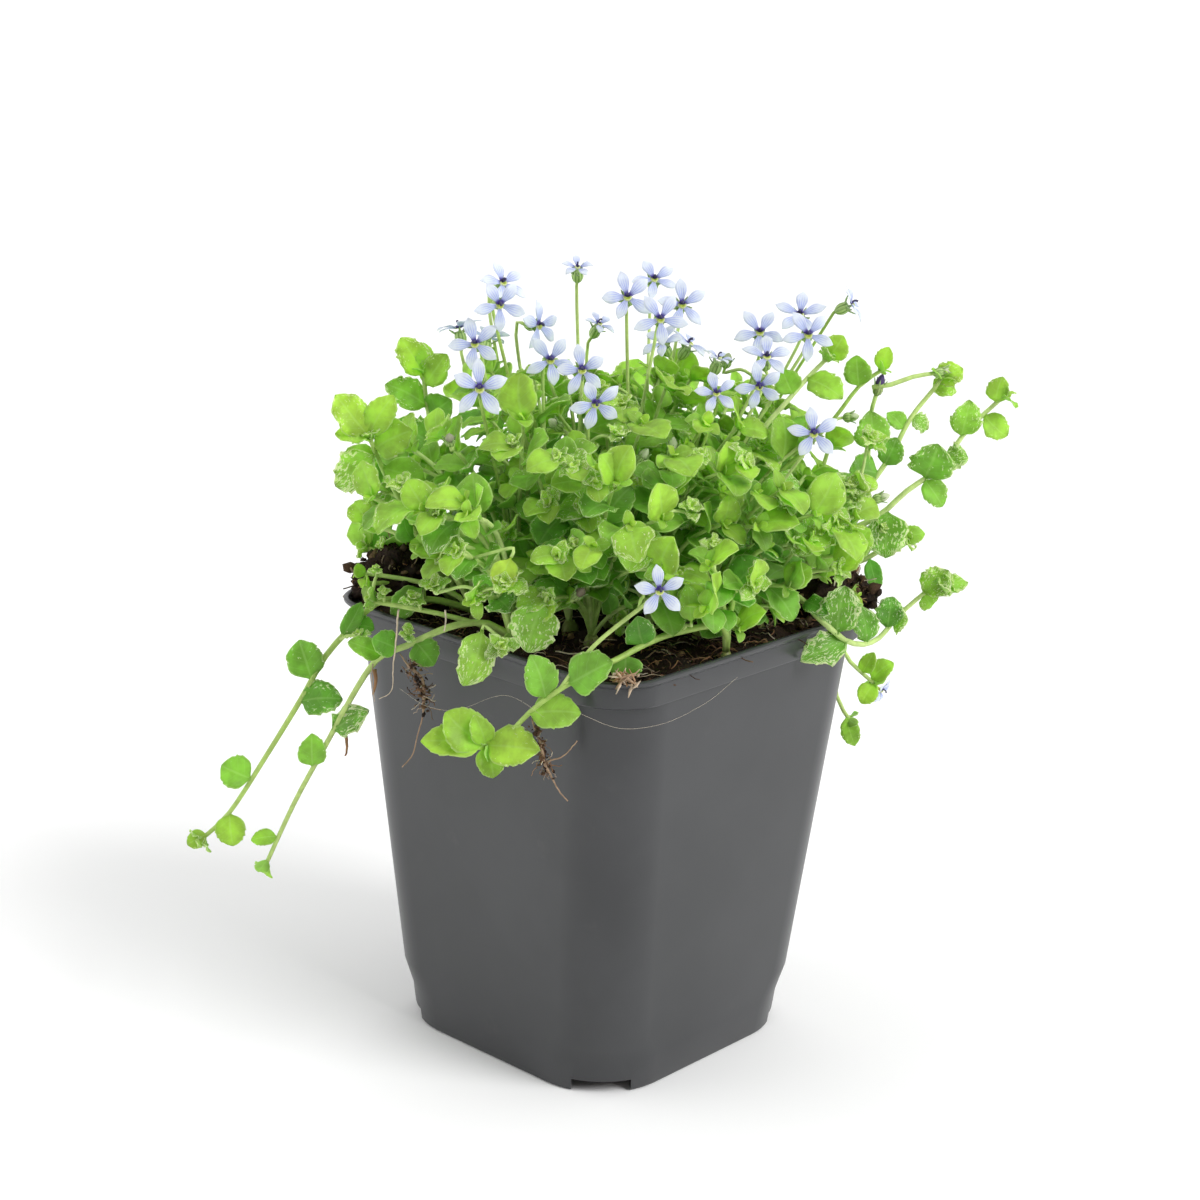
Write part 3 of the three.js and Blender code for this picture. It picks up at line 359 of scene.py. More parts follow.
def soil_height(x, y):
    height = SOIL_LEVEL + SOIL_RIPPLES["coarse"] * np.sin(0.31 * x + 1) * np.cos(0.27 * y)
    height = height + SOIL_RIPPLES["fine"] * np.sin(0.53 * x - 0.41 * y + 2)
    for heap_x, heap_y, heap, spread in SOIL_HEAPS:
        height = height + heap * np.exp(-((x - heap_x) ** 2 + (y - heap_y) ** 2) / (2 * spread**2))
    return height


def outside_rim(points):
    """How far points lie outside the rim, seen from above, or less than nothing inside it."""
    x = points[:, 0] * TURN_COS - points[:, 1] * TURN_SIN
    y = points[:, 0] * TURN_SIN + points[:, 1] * TURN_COS
    straight = RIM_HALF - RIM_CORNER
    across_x, across_y = np.abs(x) - straight, np.abs(y) - straight
    corner = np.hypot(np.maximum(across_x, 0), np.maximum(across_y, 0))
    return corner + np.minimum(np.maximum(across_x, across_y), 0) - RIM_CORNER


class Room:
    """Balls that stand for what has been placed. Later pieces keep clear of them."""

    def __init__(self):
        self.points = np.empty((0, 3))
        self.radii = np.empty(0)
        self.owners = np.empty(0, "<U20")
        self.stems = np.empty(0, "<U24")

    def keep(self, points, radii, owner, stem):
        self.points = np.vstack([self.points, points])
        self.radii = np.append(self.radii, radii)
        self.owners = np.append(self.owners, [owner] * len(points))
        self.stems = np.append(self.stems, [stem] * len(points))

    def is_clear(self, points, radii, owners=(), stem=None):
        low = points[:, 2] - radii * 0.6 < soil_height(points[:, 0], points[:, 1]) + GAP
        outside = outside_rim(points)
        over_rim = (outside > -3.4 - radii) & (outside < radii + 0.6)
        if low.any() or (over_rim & (points[:, 2] < POT_HEIGHT + radii)).any():
            return False
        reach = radii.max() + 3
        near = ((self.points > points.min(0) - reach) & (self.points < points.max(0) + reach)).all(1)
        near &= ~np.isin(self.owners, owners)
        if stem is not None:
            near &= self.stems != stem
        gaps = np.linalg.norm(self.points[near][:, None] - points, axis=2)
        return bool((gaps > self.radii[near][:, None] + radii).all())


room = Room()


def stem_balls(stem):
    path = smooth_path(stem["points"], BALL_STEP)
    return path, np.full(len(path), stem["thick"] + STEM_CLEARANCE)


def leaf_axes(leaf):
    forward = leaf["tip"] - leaf["base"]
    length = np.linalg.norm(forward)
    forward = forward / length
    face = unit(leaf["facing"] - leaf["facing"].dot(forward) * forward)
    return length, forward, face, np.cross(forward, face)


def leaf_balls(leaf, ease=1.0):
    length, forward, face, across = leaf_axes(leaf)
    half = leaf["width"] / 2
    points = []
    for share, side in LEAF_BALLS:
        rise = BLADE_ARCH * length * 4 * share * (1 - share) + BLADE_FOLD * abs(side) * half
        points.append(leaf["base"] + forward * share * length + across * side * half + face * rise)
    return np.array(points), np.full(len(points), length * LEAF_BALL * ease)


def bloom_axes(face):
    upright = UP if abs(face[2]) < 0.95 else np.array([0.0, 1.0, 0.0])
    top = unit(upright - upright.dot(face) * face)
    return top, np.cross(top, face)


def bloom_balls(bloom):
    top, right = bloom_axes(bloom["face"])
    points, radii = [bloom["centre"]], [1.5]
    for petal in range(PETALS):
        angle = bloom["turn"] + petal * 2 * math.pi / PETALS
        way = round_axes(top, right, angle)
        for share, radius in ((0.5, 1.4), (0.9, 1.2)):
            points.append(bloom["centre"] + way * bloom["radius"] * share + bloom["face"] * PETAL_LIFT)
            radii.append(radius)
    return np.array(points), np.array(radii)


def place_crowns():
    runners = [{"name": name, "place": np.array([*stems[0][0][0][:2], 0.0]), "stems": [], "leaves": []}
               for name, stems in RUNNERS.items()]
    tufts = []
    for index in range(TUFT_FIELD_POINTS):
        reach = CROWN_FIELD * math.sqrt((index + 0.5) / TUFT_FIELD_POINTS)
        angle = index * GOLDEN_ANGLE
        place = np.array([reach * math.cos(angle), reach * math.sin(angle), 0.0])
        if all(np.linalg.norm(runner["place"] - place) > CROWN_SPACING for runner in runners):
            tufts.append({"name": f"tuft_{len(tufts) + 1:02d}", "place": place, "stems": [], "leaves": []})
    return runners, tufts[:TUFTS]


def add_stem(crown, stem):
    stem["id"] = f"{crown['name']}/{len(crown['stems'])}"
    crown["stems"].append(stem)
    room.keep(*stem_balls(stem), crown["name"], stem["id"])
    return stem


def add_leaf(crown, leaf, stem, ease=1.0):
    crown["leaves"].append(leaf)
    room.keep(*leaf_balls(leaf, ease), crown["name"], stem["id"])


def grow_runner(crown):
    for index, (path, leaves, *bud) in enumerate(RUNNERS[crown["name"]]):
        stem = add_stem(crown, {
            "points": np.array(path, float), "thick": BRANCH_RADIUS if index else STEM_RADIUS,
            "thin": STEM_TIP_RADIUS, "ending": "bud" if bud else "tip", "bud": bud[0] if bud else 0})
        fine = smooth_path(stem["points"], BALL_STEP)
        for share, x, y, z, width in leaves:
            add_leaf(crown, {"base": along(fine, share)[0], "tip": np.array([x, y, z], float), "width": width,
                             "facing": FACES_VIEWER, "share": share}, stem)


def stalk_to(bloom, root):
    foot = bloom["centre"] - bloom["face"] * (PETAL_THICKNESS / 2 + GAP + CALYX_LENGTH)
    neck = foot - bloom["face"] * STALK_NECK - UP * STALK_NECK
    bend = mix(root, neck, 0.38)
    bend[2] = mix(root[2], neck[2], 0.5)
    return {"points": np.array([root, bend, neck, foot]), "thick": STALK_RADIUS, "thin": STALK_RADIUS,
            "ending": "calyx", "facing": bloom["face"]}


def grow_stalk(bloom, runners, tufts):
    if "runner" in bloom:
        owner = next(crown for crown in runners if crown["name"] == bloom["runner"])
        path = smooth_path(owner["stems"][0]["points"], BALL_STEP)
        add_stem(owner, stalk_to(bloom, along(path, bloom["share"])[0]))
        return
    def gap(crown):
        return np.linalg.norm((crown["place"] * STALK_SPREAD - bloom["centre"])[:2])
    choices = []
    for crown in sorted(tufts, key=gap)[:STALK_CHOICES]:
        stalk = stalk_to(bloom, crown["place"] + UP * SHOOT_FOOT)
        points, radii = stem_balls(stalk)
        choices.append((crown, stalk))
        if room.is_clear(points[2:], radii[2:], owners=(crown["name"], bloom["name"])):
            add_stem(crown, stalk)
            return
    add_stem(*choices[0])


def shoot_from(crown, habit, swing, draw=random):
    spread, rise_share, curve = habit
    root = crown["place"] + UP * SHOOT_FOOT
    angle = math.atan2(root[1], root[0]) + swing
    reach = min(math.hypot(root[0], root[1]) * spread + 5 + 3 * draw(), MOUND_REACH)
    end = np.array([reach * math.cos(angle), reach * math.sin(angle), 0.0])
    rise = (MOUND_TOP - MOUND_FALL * (end[0] ** 2 + end[1] ** 2) - root[2]) * rise_share - 3 + 4 * draw()
    points = []
    for share in (0, 1 / 3, 2 / 3, 1):
        point = mix(root, end, share**curve)
        point[2] = root[2] + rise * (1 - (1 - share) ** curve)
        points.append(point)
    return {"points": np.array(points), "thick": STEM_RADIUS, "thin": STEM_TIP_RADIUS, "ending": "tip"}


def grow_shoots(crown):
    inner = np.linalg.norm(crown["place"]) < INNER_FIELD
    for habit in SHOOTS[:INNER_SHOOTS] if inner else SHOOTS:
        for attempt in range(SHOOT_TRIES):
            swing = (random() - 0.5) * (10 + 3 * attempt) / (np.linalg.norm(crown["place"]) + 6)
            shoot = shoot_from(crown, habit, swing)
            points, radii = stem_balls(shoot)
            if room.is_clear(points[3:], radii[3:], owners=(crown["name"],)):
                add_stem(crown, shoot)
                break


def leaf_on(path, share, turn, length):
    point, direction = along(path, share)
    outward = unit(np.array([point[0], point[1], 0.0]))
    first = unit(np.cross(direction, UP))
    second = np.cross(first, direction)
    forward = unit(round_axes(first, second, turn) + direction * 0.45 + outward * 0.4)
    facing = outward * 0.55 + UP * 0.8
    facing = unit(facing - facing.dot(forward) * forward)
    return {"base": point, "tip": point + forward * length, "width": length * LEAF_SHAPE, "facing": facing,
            "share": share}


def grow_leaf(crown, stem, path, share):
    start = random() * 2 * math.pi
    full = mix(LEAF_LENGTH, LEAF_TIP_LENGTH, share) * (0.9 + 0.25 * random())
    for attempt in range(LEAF_TRIES):
        leaf = leaf_on(path, share, start + attempt * 0.9, full * (1 - 0.045 * attempt))
        if room.is_clear(*leaf_balls(leaf), stem=stem["id"]):
            add_leaf(crown, leaf, stem)
            return


def grow_foliage(crown):
    for stem in [stem for stem in crown["stems"] if stem["ending"] == "tip"]:
        path = smooth_path(stem["points"], BALL_STEP)
        length = lengths(path).sum()
        for back in np.arange(1, length * LEAFY_SHARE, LEAF_SPACING):
            grow_leaf(crown, stem, path, 1 - back / length)


# The branch whose bud hangs lower than on the solids
LOWER_BUD = [(56, 4, 149), (60, 5, 149.5), (65, 7, 151), (69.5, 8.5, 151.6)]

blooms = []
for number, (centre, face, turn, radius, *host) in enumerate(BLOOMS, 1):
    blooms.append({"name": f"bloom_{number:02d}", "centre": np.array(centre, float),
                   "face": unit(np.array(face, float)), "turn": math.radians(turn), "radius": radius,
                   **dict(zip(("runner", "share"), host))})
runners, tufts = place_crowns()
for bloom in blooms:
    room.keep(*bloom_balls(bloom), bloom["name"], bloom["name"])
for crown in runners:
    grow_runner(crown)
for bloom in blooms:
    grow_stalk(bloom, runners, tufts)
for crown in tufts:
    grow_shoots(crown)
for crown in tufts:
    grow_foliage(crown)


# Meshes

class Pile:
    """Points and faces gathered into one object, with each point's place on its part and a painted tint."""

    def __init__(self):
        self.points, self.parts, self.tints, self.faces, self.slots = [], [], [], [], []
        self.count = 0

    def add(self, points, parts, tint, faces, slots):
        self.points.append(points)
        self.parts.append(parts)
        self.tints.append(np.broadcast_to(tint, (len(points), 4)))
        self.faces += [[index + self.count for index in face] for face in faces]
        self.slots += slots
        self.count += len(points)

    def plate(self, sheet, face, thickness, parts, tint, upper=0, under=1):
        """A thin closed plate round a sheet of points, in rows along it and columns across it."""
        rows, columns = sheet.shape[:2]
        offset = (thickness / 2)[..., None] * face
        points = np.concatenate([(sheet + offset).reshape(-1, 3), (sheet - offset).reshape(-1, 3)])
        both = np.tile(parts.reshape(-1, 2), (2, 1))
        top, bottom, rim = plate_faces(rows, columns)
        faces = np.concatenate([top, rim, bottom]).tolist()
        self.add(points, both, tint, faces, [upper] * (len(top) + len(rim)) + [under] * len(bottom))

    def skin(self, rings, tint, slot=0):
        """A closed skin over a stack of rings."""
        rings = np.array(rings)
        count, sides = rings.shape[:2]
        faces = [[low + step, low + (step + 1) % sides, low + sides + (step + 1) % sides, low + sides + step]
                 for low in range(0, (count - 1) * sides, sides) for step in range(sides)]
        last = (count - 1) * sides
        faces += [list(range(sides - 1, -1, -1)), list(range(last, last + sides))]
        share, turn = np.meshgrid(np.linspace(0, 1, count), np.arange(sides) / sides, indexing="ij")
        parts = np.stack([share, turn], 2).reshape(-1, 2)
        self.add(rings.reshape(-1, 3), parts, tint, faces, [slot] * len(faces))

    def tube(self, path, radii, sides, tint, slot=0):
        side = np.array([0.31, 0.95, 0.02])
        turns = np.arange(sides)[:, None] * 2 * math.pi / sides
        rings = []
        for index, point in enumerate(path):
            direction = unit(path[min(index + 1, len(path) - 1)] - path[max(index - 1, 0)])
            side = unit(side - side.dot(direction) * direction)
            up = np.cross(direction, side)
            rings.append(point + (side * np.cos(turns) + up * np.sin(turns)) * radii[index])
        self.skin(rings, tint, slot)

    def lathe(self, origin, axis, profile, sides, tint, slot=0, ribs=0, depth=0.0):
        """A turned form: heights along an axis and radii, with ribs round it."""
        side, up = axes_across(axis)
        turns = np.arange(sides)[:, None] * 2 * math.pi / sides
        round_way = (side * np.cos(turns) + up * np.sin(turns)) * (1 + depth * np.cos(ribs * turns))
        self.skin([origin + axis * height + round_way * radius for height, radius in profile], tint, slot)

    def build(self, name, materials, slot, replaced=()):
        mesh = bpy.data.meshes.new(name)
        mesh.from_pydata(to_row(np.concatenate(self.points)).tolist(), [], self.faces)
        for material in materials:
            mesh.materials.append(material)
        mesh.polygons.foreach_set("material_index", self.slots)
        mesh.polygons.foreach_set("use_smooth", [True] * len(self.faces))
        corners = np.empty(len(mesh.loops), int)
        mesh.loops.foreach_get("vertex_index", corners)
        mesh.uv_layers.new(name="Part").data.foreach_set("uv", np.concatenate(self.parts)[corners].ravel())
        tint = mesh.attributes.new("tint", "FLOAT_COLOR", "POINT")
        tint.data.foreach_set("color", np.concatenate(self.tints).ravel())
        piece = bpy.data.objects.new(name, mesh)
        bpy.context.scene.collection.objects.link(piece)
        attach(piece, "root")
        if replaced:
            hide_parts(*replaced)
        return piece


@functools.lru_cache
def plate_faces(rows, columns):
    size = rows * columns
    row, column = np.meshgrid(np.arange(rows - 1), np.arange(columns - 1), indexing="ij")
    corner = (row * columns + column).ravel()
    top = np.stack([corner, corner + 1, corner + columns + 1, corner + columns], 1)
    left = np.arange(rows - 1) * columns
    right = left + columns - 1
    near = np.arange(columns - 1)
    far = near + (rows - 1) * columns
    rim = np.concatenate([
        np.stack([left, left + columns, left + columns + size, left + size], 1),
        np.stack([right + columns, right, right + size, right + columns + size], 1),
        np.stack([near + 1, near, near + size, near + 1 + size], 1),
        np.stack([far, far + 1, far + 1 + size, far + size], 1),
    ])
    return top, top[:, ::-1] + size, rim


# Materials

def paint(code):
    """A colour written as red, green and blue in hexadecimal, as Blender's linear values."""
    shares = [int(code[start:start + 2], 16) / 255 for start in (0, 2, 4)]
    linear = [share / 12.92 if share <= 0.04045 else ((share + 0.055) / 1.055) ** 2.4 for share in shares]
    return (*linear, 1.0)


class Shader:
    """A material's nodes, made one call at a time."""

    def __init__(self, name):
        self.material = bpy.data.materials.new(name)
        self.material.use_nodes = True
        self.tree = self.material.node_tree
        self.tree.nodes.clear()

    def put(self, socket, value):
        if isinstance(value, bpy.types.NodeSocket):
            self.tree.links.new(value, socket)
        else:
            socket.default_value = value

    def node(self, kind, inputs, output=0, **settings):
        made = self.tree.nodes.new("ShaderNode" + kind)
        for name, value in settings.items():
            setattr(made, name, value)
        for place, value in inputs.items():
            self.put(made.inputs[place], value)
        return made.outputs[output]

    def math(self, operation, *values):
        return self.node("Math", dict(enumerate(values)), operation=operation)

    def times(self, first, second):
        return self.math("MULTIPLY", first, second)

    def ramp(self, value, low, high, to_low=0.0, to_high=1.0):
        return self.node("MapRange", {0: value, 1: low, 2: high, 3: to_low, 4: to_high}, clamp=True,
                         interpolation_type="SMOOTHSTEP")

    def blend(self, share, low, high):
        return self.node("Mix", {0: share, 6: low, 7: high}, output=2, data_type="RGBA")

    def noise(self, scale, detail=3.0, rough=0.55):
        place = self.node("TexCoord", {}, output=3)
        return self.node("TexNoise", {"Vector": place, "Scale": scale, "Detail": detail, "Roughness": rough})

    def flecks(self, along_part, across, own):
        """Short flecks that run along a leaf, different on every leaf."""
        place = self.tree.nodes.new("ShaderNodeCombineXYZ")
        for socket, value, stretch in zip(place.inputs, (along_part, across, own), (11.0, 9.0, 61.0)):
            self.put(socket, self.times(value, stretch))
        return self.node("TexNoise", {"Vector": place.outputs[0], "Scale": 1.0, "Detail": 2.0,
                                      "Roughness": 0.6})

    def tint(self):
        attribute = self.tree.nodes.new("ShaderNodeAttribute")
        attribute.attribute_name = "tint"
        split = self.tree.nodes.new("ShaderNodeSeparateColor")
        self.tree.links.new(attribute.outputs["Color"], split.inputs[0])
        return [*split.outputs, attribute.outputs["Alpha"]]

    def part(self):
        """Place along the part, and signed place across it."""
        place = self.node("UVMap", {}, uv_map="Part")
        split = self.tree.nodes.new("ShaderNodeSeparateXYZ")
        self.tree.links.new(place, split.inputs[0])
        return split.outputs[0], self.math("MULTIPLY_ADD", split.outputs[1], 2.0, -1.0)

    def shade(self, colour, value):
        return self.node("HueSaturation", {"Value": value, "Color": colour})

    def surface(self, colour, roughness, height, strength, depth, glow=None, gloss=0.5):
        """A surface with relief. Glow is the share of light that passes through, and how it brightens."""
        relief = self.node("Bump", {"Strength": strength, "Distance": depth, "Height": height})
        shader = self.node("BsdfPrincipled", {"Base Color": colour, "Roughness": roughness,
                                              "Specular IOR Level": gloss, "Normal": relief})
        if glow:
            through = self.node("BsdfTranslucent", {"Color": self.shade(colour, glow[1])})
            shader = self.node("MixShader", {0: glow[0], 1: shader, 2: through})
        self.node_output(shader)
        return self.material

    def node_output(self, shader):
        output = self.tree.nodes.new("ShaderNodeOutputMaterial")
        self.tree.links.new(shader, output.inputs[0])


def leaf_material(name, deep, mid, young, vein, under):
    shader = Shader(name)
    tone, youth, speckle, own = shader.tint()
    along_leaf, across = shader.part()
    side = shader.math("ABSOLUTE", across)
    # The tone runs from the deep colour, painted shade on leaves low in the mound, to the mid colour of lit
    # leaves.
    colour = shader.blend(tone, paint(deep), paint(mid))
    colour = shader.blend(youth, colour, paint(young))
    mottle = shader.noise(260.0)
    colour = shader.shade(colour, shader.ramp(mottle, 0.3, 0.7, 0.82, 1.14))
    midrib = shader.ramp(side, 0.02, 0.1, 1.0, 0.0)
    wave = shader.math("MULTIPLY_ADD", side, -1.2, shader.times(along_leaf, 4.6))
    wave = shader.math("ABSOLUTE", shader.math("SUBTRACT", shader.math("FRACT", wave), 0.5))
    branch = shader.times(shader.ramp(wave, 0.44, 0.5), 0.45)
    veins = shader.math("MAXIMUM", shader.times(midrib, 0.75), branch)
    colour = shader.blend(shader.times(veins, 0.34), colour, paint(vein))
    margin = shader.times(shader.ramp(side, 0.88, 0.97), 0.6)
    colour = shader.blend(margin, colour, paint("CFE39A"))
    flecks = shader.math("MULTIPLY_ADD", side, 0.16, shader.flecks(along_leaf, across, own))
    flecks = shader.math("MULTIPLY_ADD", along_leaf, 0.12, flecks)
    threshold = shader.math("MULTIPLY_ADD", speckle, -0.2, 0.87)
    cream = shader.ramp(shader.math("SUBTRACT", flecks, threshold), 0.0, 0.045)
    cream = shader.times(cream, 0.35 if under else 0.9)
    colour = shader.blend(cream, colour, paint("F1F5CE"))
    height = shader.math("SUBTRACT", shader.times(mottle, 0.7), shader.times(veins, 0.6))
    rough = shader.ramp(mottle, 0.3, 0.7, 0.42, 0.58)
    return shader.surface(colour, rough, height, 0.35, 0.00035, glow=(0.47, 1.4), gloss=0.42)


def stem_material():
    shader = Shader("stem")
    tone, _, brown, _ = shader.tint()
    colour = shader.blend(tone, paint("B2D468"), paint("DAEE9E"))
    streak = shader.noise(420.0, 2.0)
    colour = shader.shade(colour, shader.ramp(streak, 0.3, 0.7, 0.86, 1.12))
    colour = shader.blend(brown, colour, paint("7A6A3C"))
    return shader.surface(colour, 0.46, streak, 0.25, 0.0003, glow=(0.15, 1.2), gloss=0.4)


def calyx_material():
    shader = Shader("calyx")
    _, youth, brown, _ = shader.tint()
    _, across = shader.part()
    rib = shader.math("ABSOLUTE", shader.math("SINE", shader.times(across, 15.7)))
    colour = shader.blend(shader.ramp(rib, 0.1, 0.9), paint("76A44B"), paint("BEDA88"))
    colour = shader.blend(youth, colour, paint("DCE6C0"))
    colour = shader.blend(brown, colour, paint("6B4F45"))
    return shader.surface(colour, 0.5, rib, 0.3, 0.0002, glow=(0.15, 1.2))


def petal_material(name, outer):
    shader = Shader(name)
    throat, _, wilt, _ = shader.tint()
    along_petal, across = shader.part()
    side = shader.math("ABSOLUTE", across)
    pale = shader.ramp(along_petal, 0.1, 0.8)
    colour = shader.blend(pale, paint("DDE6FF"), paint("F2F6FF"))
    colour = shader.blend(shader.ramp(side, 0.45, 1.0, 0.0, 0.65), colour, paint("F3F6FF"))
    line = shader.math("SUBTRACT", shader.math("FRACT", shader.math("MULTIPLY_ADD", side, 2.6, 0.5)), 0.5)
    line = shader.ramp(shader.math("ABSOLUTE", line), 0.05, 0.26, 1.0, 0.0)
    reach = shader.ramp(along_petal, 0.12, 0.85, 1.0, 0.0)
    line = shader.times(shader.times(line, reach), 0.62 if outer else 0.35)
    colour = shader.blend(line, colour, paint("8489E4"))
    base = shader.times(shader.ramp(along_petal, 0.02, 0.19, 1.0, 0.0), throat)
    colour = shader.blend(base, colour, paint("5A4BB4"))
    grain = shader.noise(900.0, 2.0)
    colour = shader.shade(colour, shader.ramp(grain, 0.3, 0.7, 0.95, 1.04))
    colour = shader.blend(wilt, colour, paint("6E5A93"))
    return shader.surface(colour, 0.58, grain, 0.2, 0.0002, glow=(0.4, 1.05), gloss=0.3)


def eye_material():
    shader = Shader("flower_eye")
    dark, pale, deep, _ = shader.tint()
    colour = shader.blend(pale, paint("A9BC3B"), paint("E8EDB8"))
    colour = shader.blend(dark, colour, paint("3B2A78"))
    colour = shader.blend(deep, colour, paint("221A3E"))
    return shader.surface(colour, 0.5, shader.noise(1500.0), 0.2, 0.0002)


def pot_material():
    shader = Shader("pot_plastic")
    cloud = shader.noise(26.0, 4.0)
    grain = shader.noise(2300.0, 2.0)
    colour = shader.blend(shader.ramp(cloud, 0.35, 0.7), paint("343537"), paint("3C3D3F"))
    dust = shader.times(shader.ramp(shader.noise(75.0, 6.0, 0.7), 0.6, 0.8), 0.07)
    colour = shader.blend(dust, colour, paint("8A8780"))
    rough = shader.math("ADD", shader.ramp(cloud, 0.3, 0.7, 0.3, 0.38), shader.times(dust, 0.8))
    return shader.surface(colour, rough, grain, 0.12, 0.0001)


def peat_material():
    shader = Shader("peat")
    tan, light, _, _ = shader.tint()
    coarse = shader.noise(160.0, 6.0, 0.7)
    fine = shader.noise(900.0, 5.0, 0.7)
    colour = shader.blend(shader.ramp(coarse, 0.35, 0.65), paint("1A120C"), paint("38281D"))
    colour = shader.blend(shader.ramp(fine, 0.56, 0.72, 0.0, 0.5), colour, paint("624733"))
    colour = shader.blend(tan, colour, paint("86664B"))
    colour = shader.blend(light, colour, paint("C9A878"))
    height = shader.math("ADD", shader.times(coarse, 1.2), fine)
    return shader.surface(colour, 0.88, height, 0.8, 0.0012, gloss=0.25)


def root_material():
    shader = Shader("root")
    tan, light, _, _ = shader.tint()
    grain = shader.noise(700.0, 4.0)
    colour = shader.blend(tan, paint("3B2619"), paint("9A7350"))
    colour = shader.blend(light, colour, paint("DCCFB8"))
    colour = shader.shade(colour, shader.ramp(grain, 0.3, 0.7, 0.75, 1.2))
    return shader.surface(colour, 0.8, grain, 0.5, 0.0004, gloss=0.3)


LEAF_UPPER = leaf_material("leaf_upper", "78B748", "A6D358", "CBE45C", "CBE593", False)
LEAF_UNDER = leaf_material("leaf_under", "8CC364", "B6DC78", "CFE97A", "CBE5A3", True)
STEM = stem_material()
CALYX = calyx_material()
PETAL = petal_material("petal_upper", True)
PETAL_UNDER = petal_material("petal_under", False)
EYE = eye_material()
POT = pot_material()
PEAT = peat_material()
ROOT = root_material()
GREEN = [LEAF_UPPER, LEAF_UNDER, STEM, CALYX, PETAL, PETAL_UNDER, ROOT]
UPPER, UNDER, STEM_SLOT, CALYX_SLOT, PETAL_SLOT = range(5)
STAR = [PETAL, PETAL_UNDER, EYE]
EYE_SLOT = 2


# Leaves: rows along the blade and the half width at each, with a forward tooth where the width drops

LEAF_ROWS = np.array([0, 0.05, 0.09, 0.14, 0.21, 0.3, 0.4, 0.49, 0.555, 0.57, 0.64, 0.71, 0.725, 0.79, 0.845,
                      0.86, 0.92, 0.97, 1])
LEAF_HALVES = np.array([0.08, 0.08, 0.24, 0.53, 0.77, 0.93, 1.0, 1.02, 1.02, 0.96, 0.95, 0.92, 0.84, 0.79,
                        0.71, 0.61, 0.43, 0.23, 0.03])
SMALL_ROWS = np.array([0, 0.06, 0.14, 0.26, 0.42, 0.58, 0.72, 0.84, 0.93, 1])
SMALL_HALVES = np.array([0.1, 0.16, 0.58, 0.87, 1.02, 1.01, 0.9, 0.68, 0.4, 0.04])
PETAL_ROWS = np.array([0, 0.08, 0.18, 0.3, 0.42, 0.54, 0.65, 0.75, 0.84, 0.91, 0.96, 1])
PETAL_HALVES = np.array([0.34, 0.38, 0.52, 0.74, 0.92, 1.0, 0.96, 0.82, 0.6, 0.36, 0.18, 0.03])
LEAF_THICKNESS = 0.34
# Height where the painted shade on the leaves starts to lift, and the height over which it fades
SHADE_FOOT = 104
SHADE_HEIGHT = 45
STEM_SLIMMING = 0.75
RUNNER_SLIMMING = 0.95
# Heights along the axis and radii
CALYX_PROFILE = [(0, 0.42), (0.35, 0.75), (0.9, 1.1), (1.6, 1.28), (2.3, 1.22), (2.9, 1.05), (3.2, 0.95)]
BUD_CALYX = [(0, 0.45), (0.5, 0.9), (1.3, 1.15), (2.1, 1.05), (2.5, 0.8)]
BUD_PETALS = [(0, 0.75), (0.7, 0.95), (1.5, 0.85), (2.3, 0.5), (2.8, 0.12)]
SEPAL_ROWS = np.array([0, 0.3, 0.65, 1])
SEPAL_HALVES = np.array([1, 0.9, 0.55, 0.06])
SEPAL_THICKNESS = 0.22
# Angles in radians
SEPAL_STEP = 1.2566
ROSETTE_STEP = 2.4
FULL_TURN = 6.28
# Young leaves round the end of a shoot: share of the size and lean toward the shoot's direction
ROSETTE = [(1.0, 0.35), (0.95, 0.45), (0.8, 0.7), (0.8, 0.8), (0.66, 1.2), (0.6, 1.4), (0.5, 2.2),
           (0.42, 2.6)]
dice = np.random.default_rng(41)


def sheet_rows(rows, halves, columns):
    return rows[:, None], np.linspace(-1, 1, columns)[None], halves[:, None]


def add_blade(pile, leaf, columns, small, crinkle, tint):
    """A blade on a short stalk, arched, folded, quilted between its veins and waved at its edges."""
    length, forward, face, across = leaf_axes(leaf)
    rows, halves = (SMALL_ROWS, SMALL_HALVES) if small else (LEAF_ROWS, LEAF_HALVES)
    rows, side, halves = sheet_rows(rows, halves, columns)
    half = leaf["width"] / 2
    ragged = 1 + dice.normal(0, 0.012 + 0.09 * crinkle, (len(rows), 2))
    ragged = np.where(side < 0, ragged[:, :1], ragged[:, 1:])
    reach = side * halves * half * ragged
    rise = BLADE_ARCH * length * 4 * rows * (1 - rows)
    rise = rise + BLADE_FOLD * (np.sqrt(reach**2 + 0.25) - 0.5)
    rise = rise - length * dice.uniform(0, 0.3) * np.clip(rows - 0.4, 0, 1) ** 2
    quilt = np.sin(2 * math.pi * (4.6 * rows - 1.2 * np.abs(side))) * np.abs(side) * (1 - np.abs(side))
    rise = rise + length * (0.05 + 0.12 * crinkle) * quilt
    swing = np.sin(2 * math.pi * (dice.uniform(1.2, 2.6) * rows + dice.random() + 0.3 * np.sign(side)))
    rise = rise + length * (0.022 + 0.06 * crinkle) * swing * np.abs(side) ** 3
    twist = dice.normal(0, 0.16) * rows
    bend = length * dice.normal(0, 0.03) * rows * (1 - rows) * 4
    out = across * np.cos(twist)[..., None] + face * np.sin(twist)[..., None]
    up = face * np.cos(twist)[..., None] - across * np.sin(twist)[..., None]
    sheet = (leaf["base"] + forward * (rows * length)[..., None] + across * bend[..., None]
             + out * reach[..., None] + up * rise[..., None])
    thickness = LEAF_THICKNESS * (1 - 0.45 * np.abs(side)) + 0.5 * np.clip(0.12 - rows, 0, 1) / 0.12
    pile.plate(sheet, face, thickness, places_on(rows, side / 2 + 0.5), tint, UPPER, UNDER)


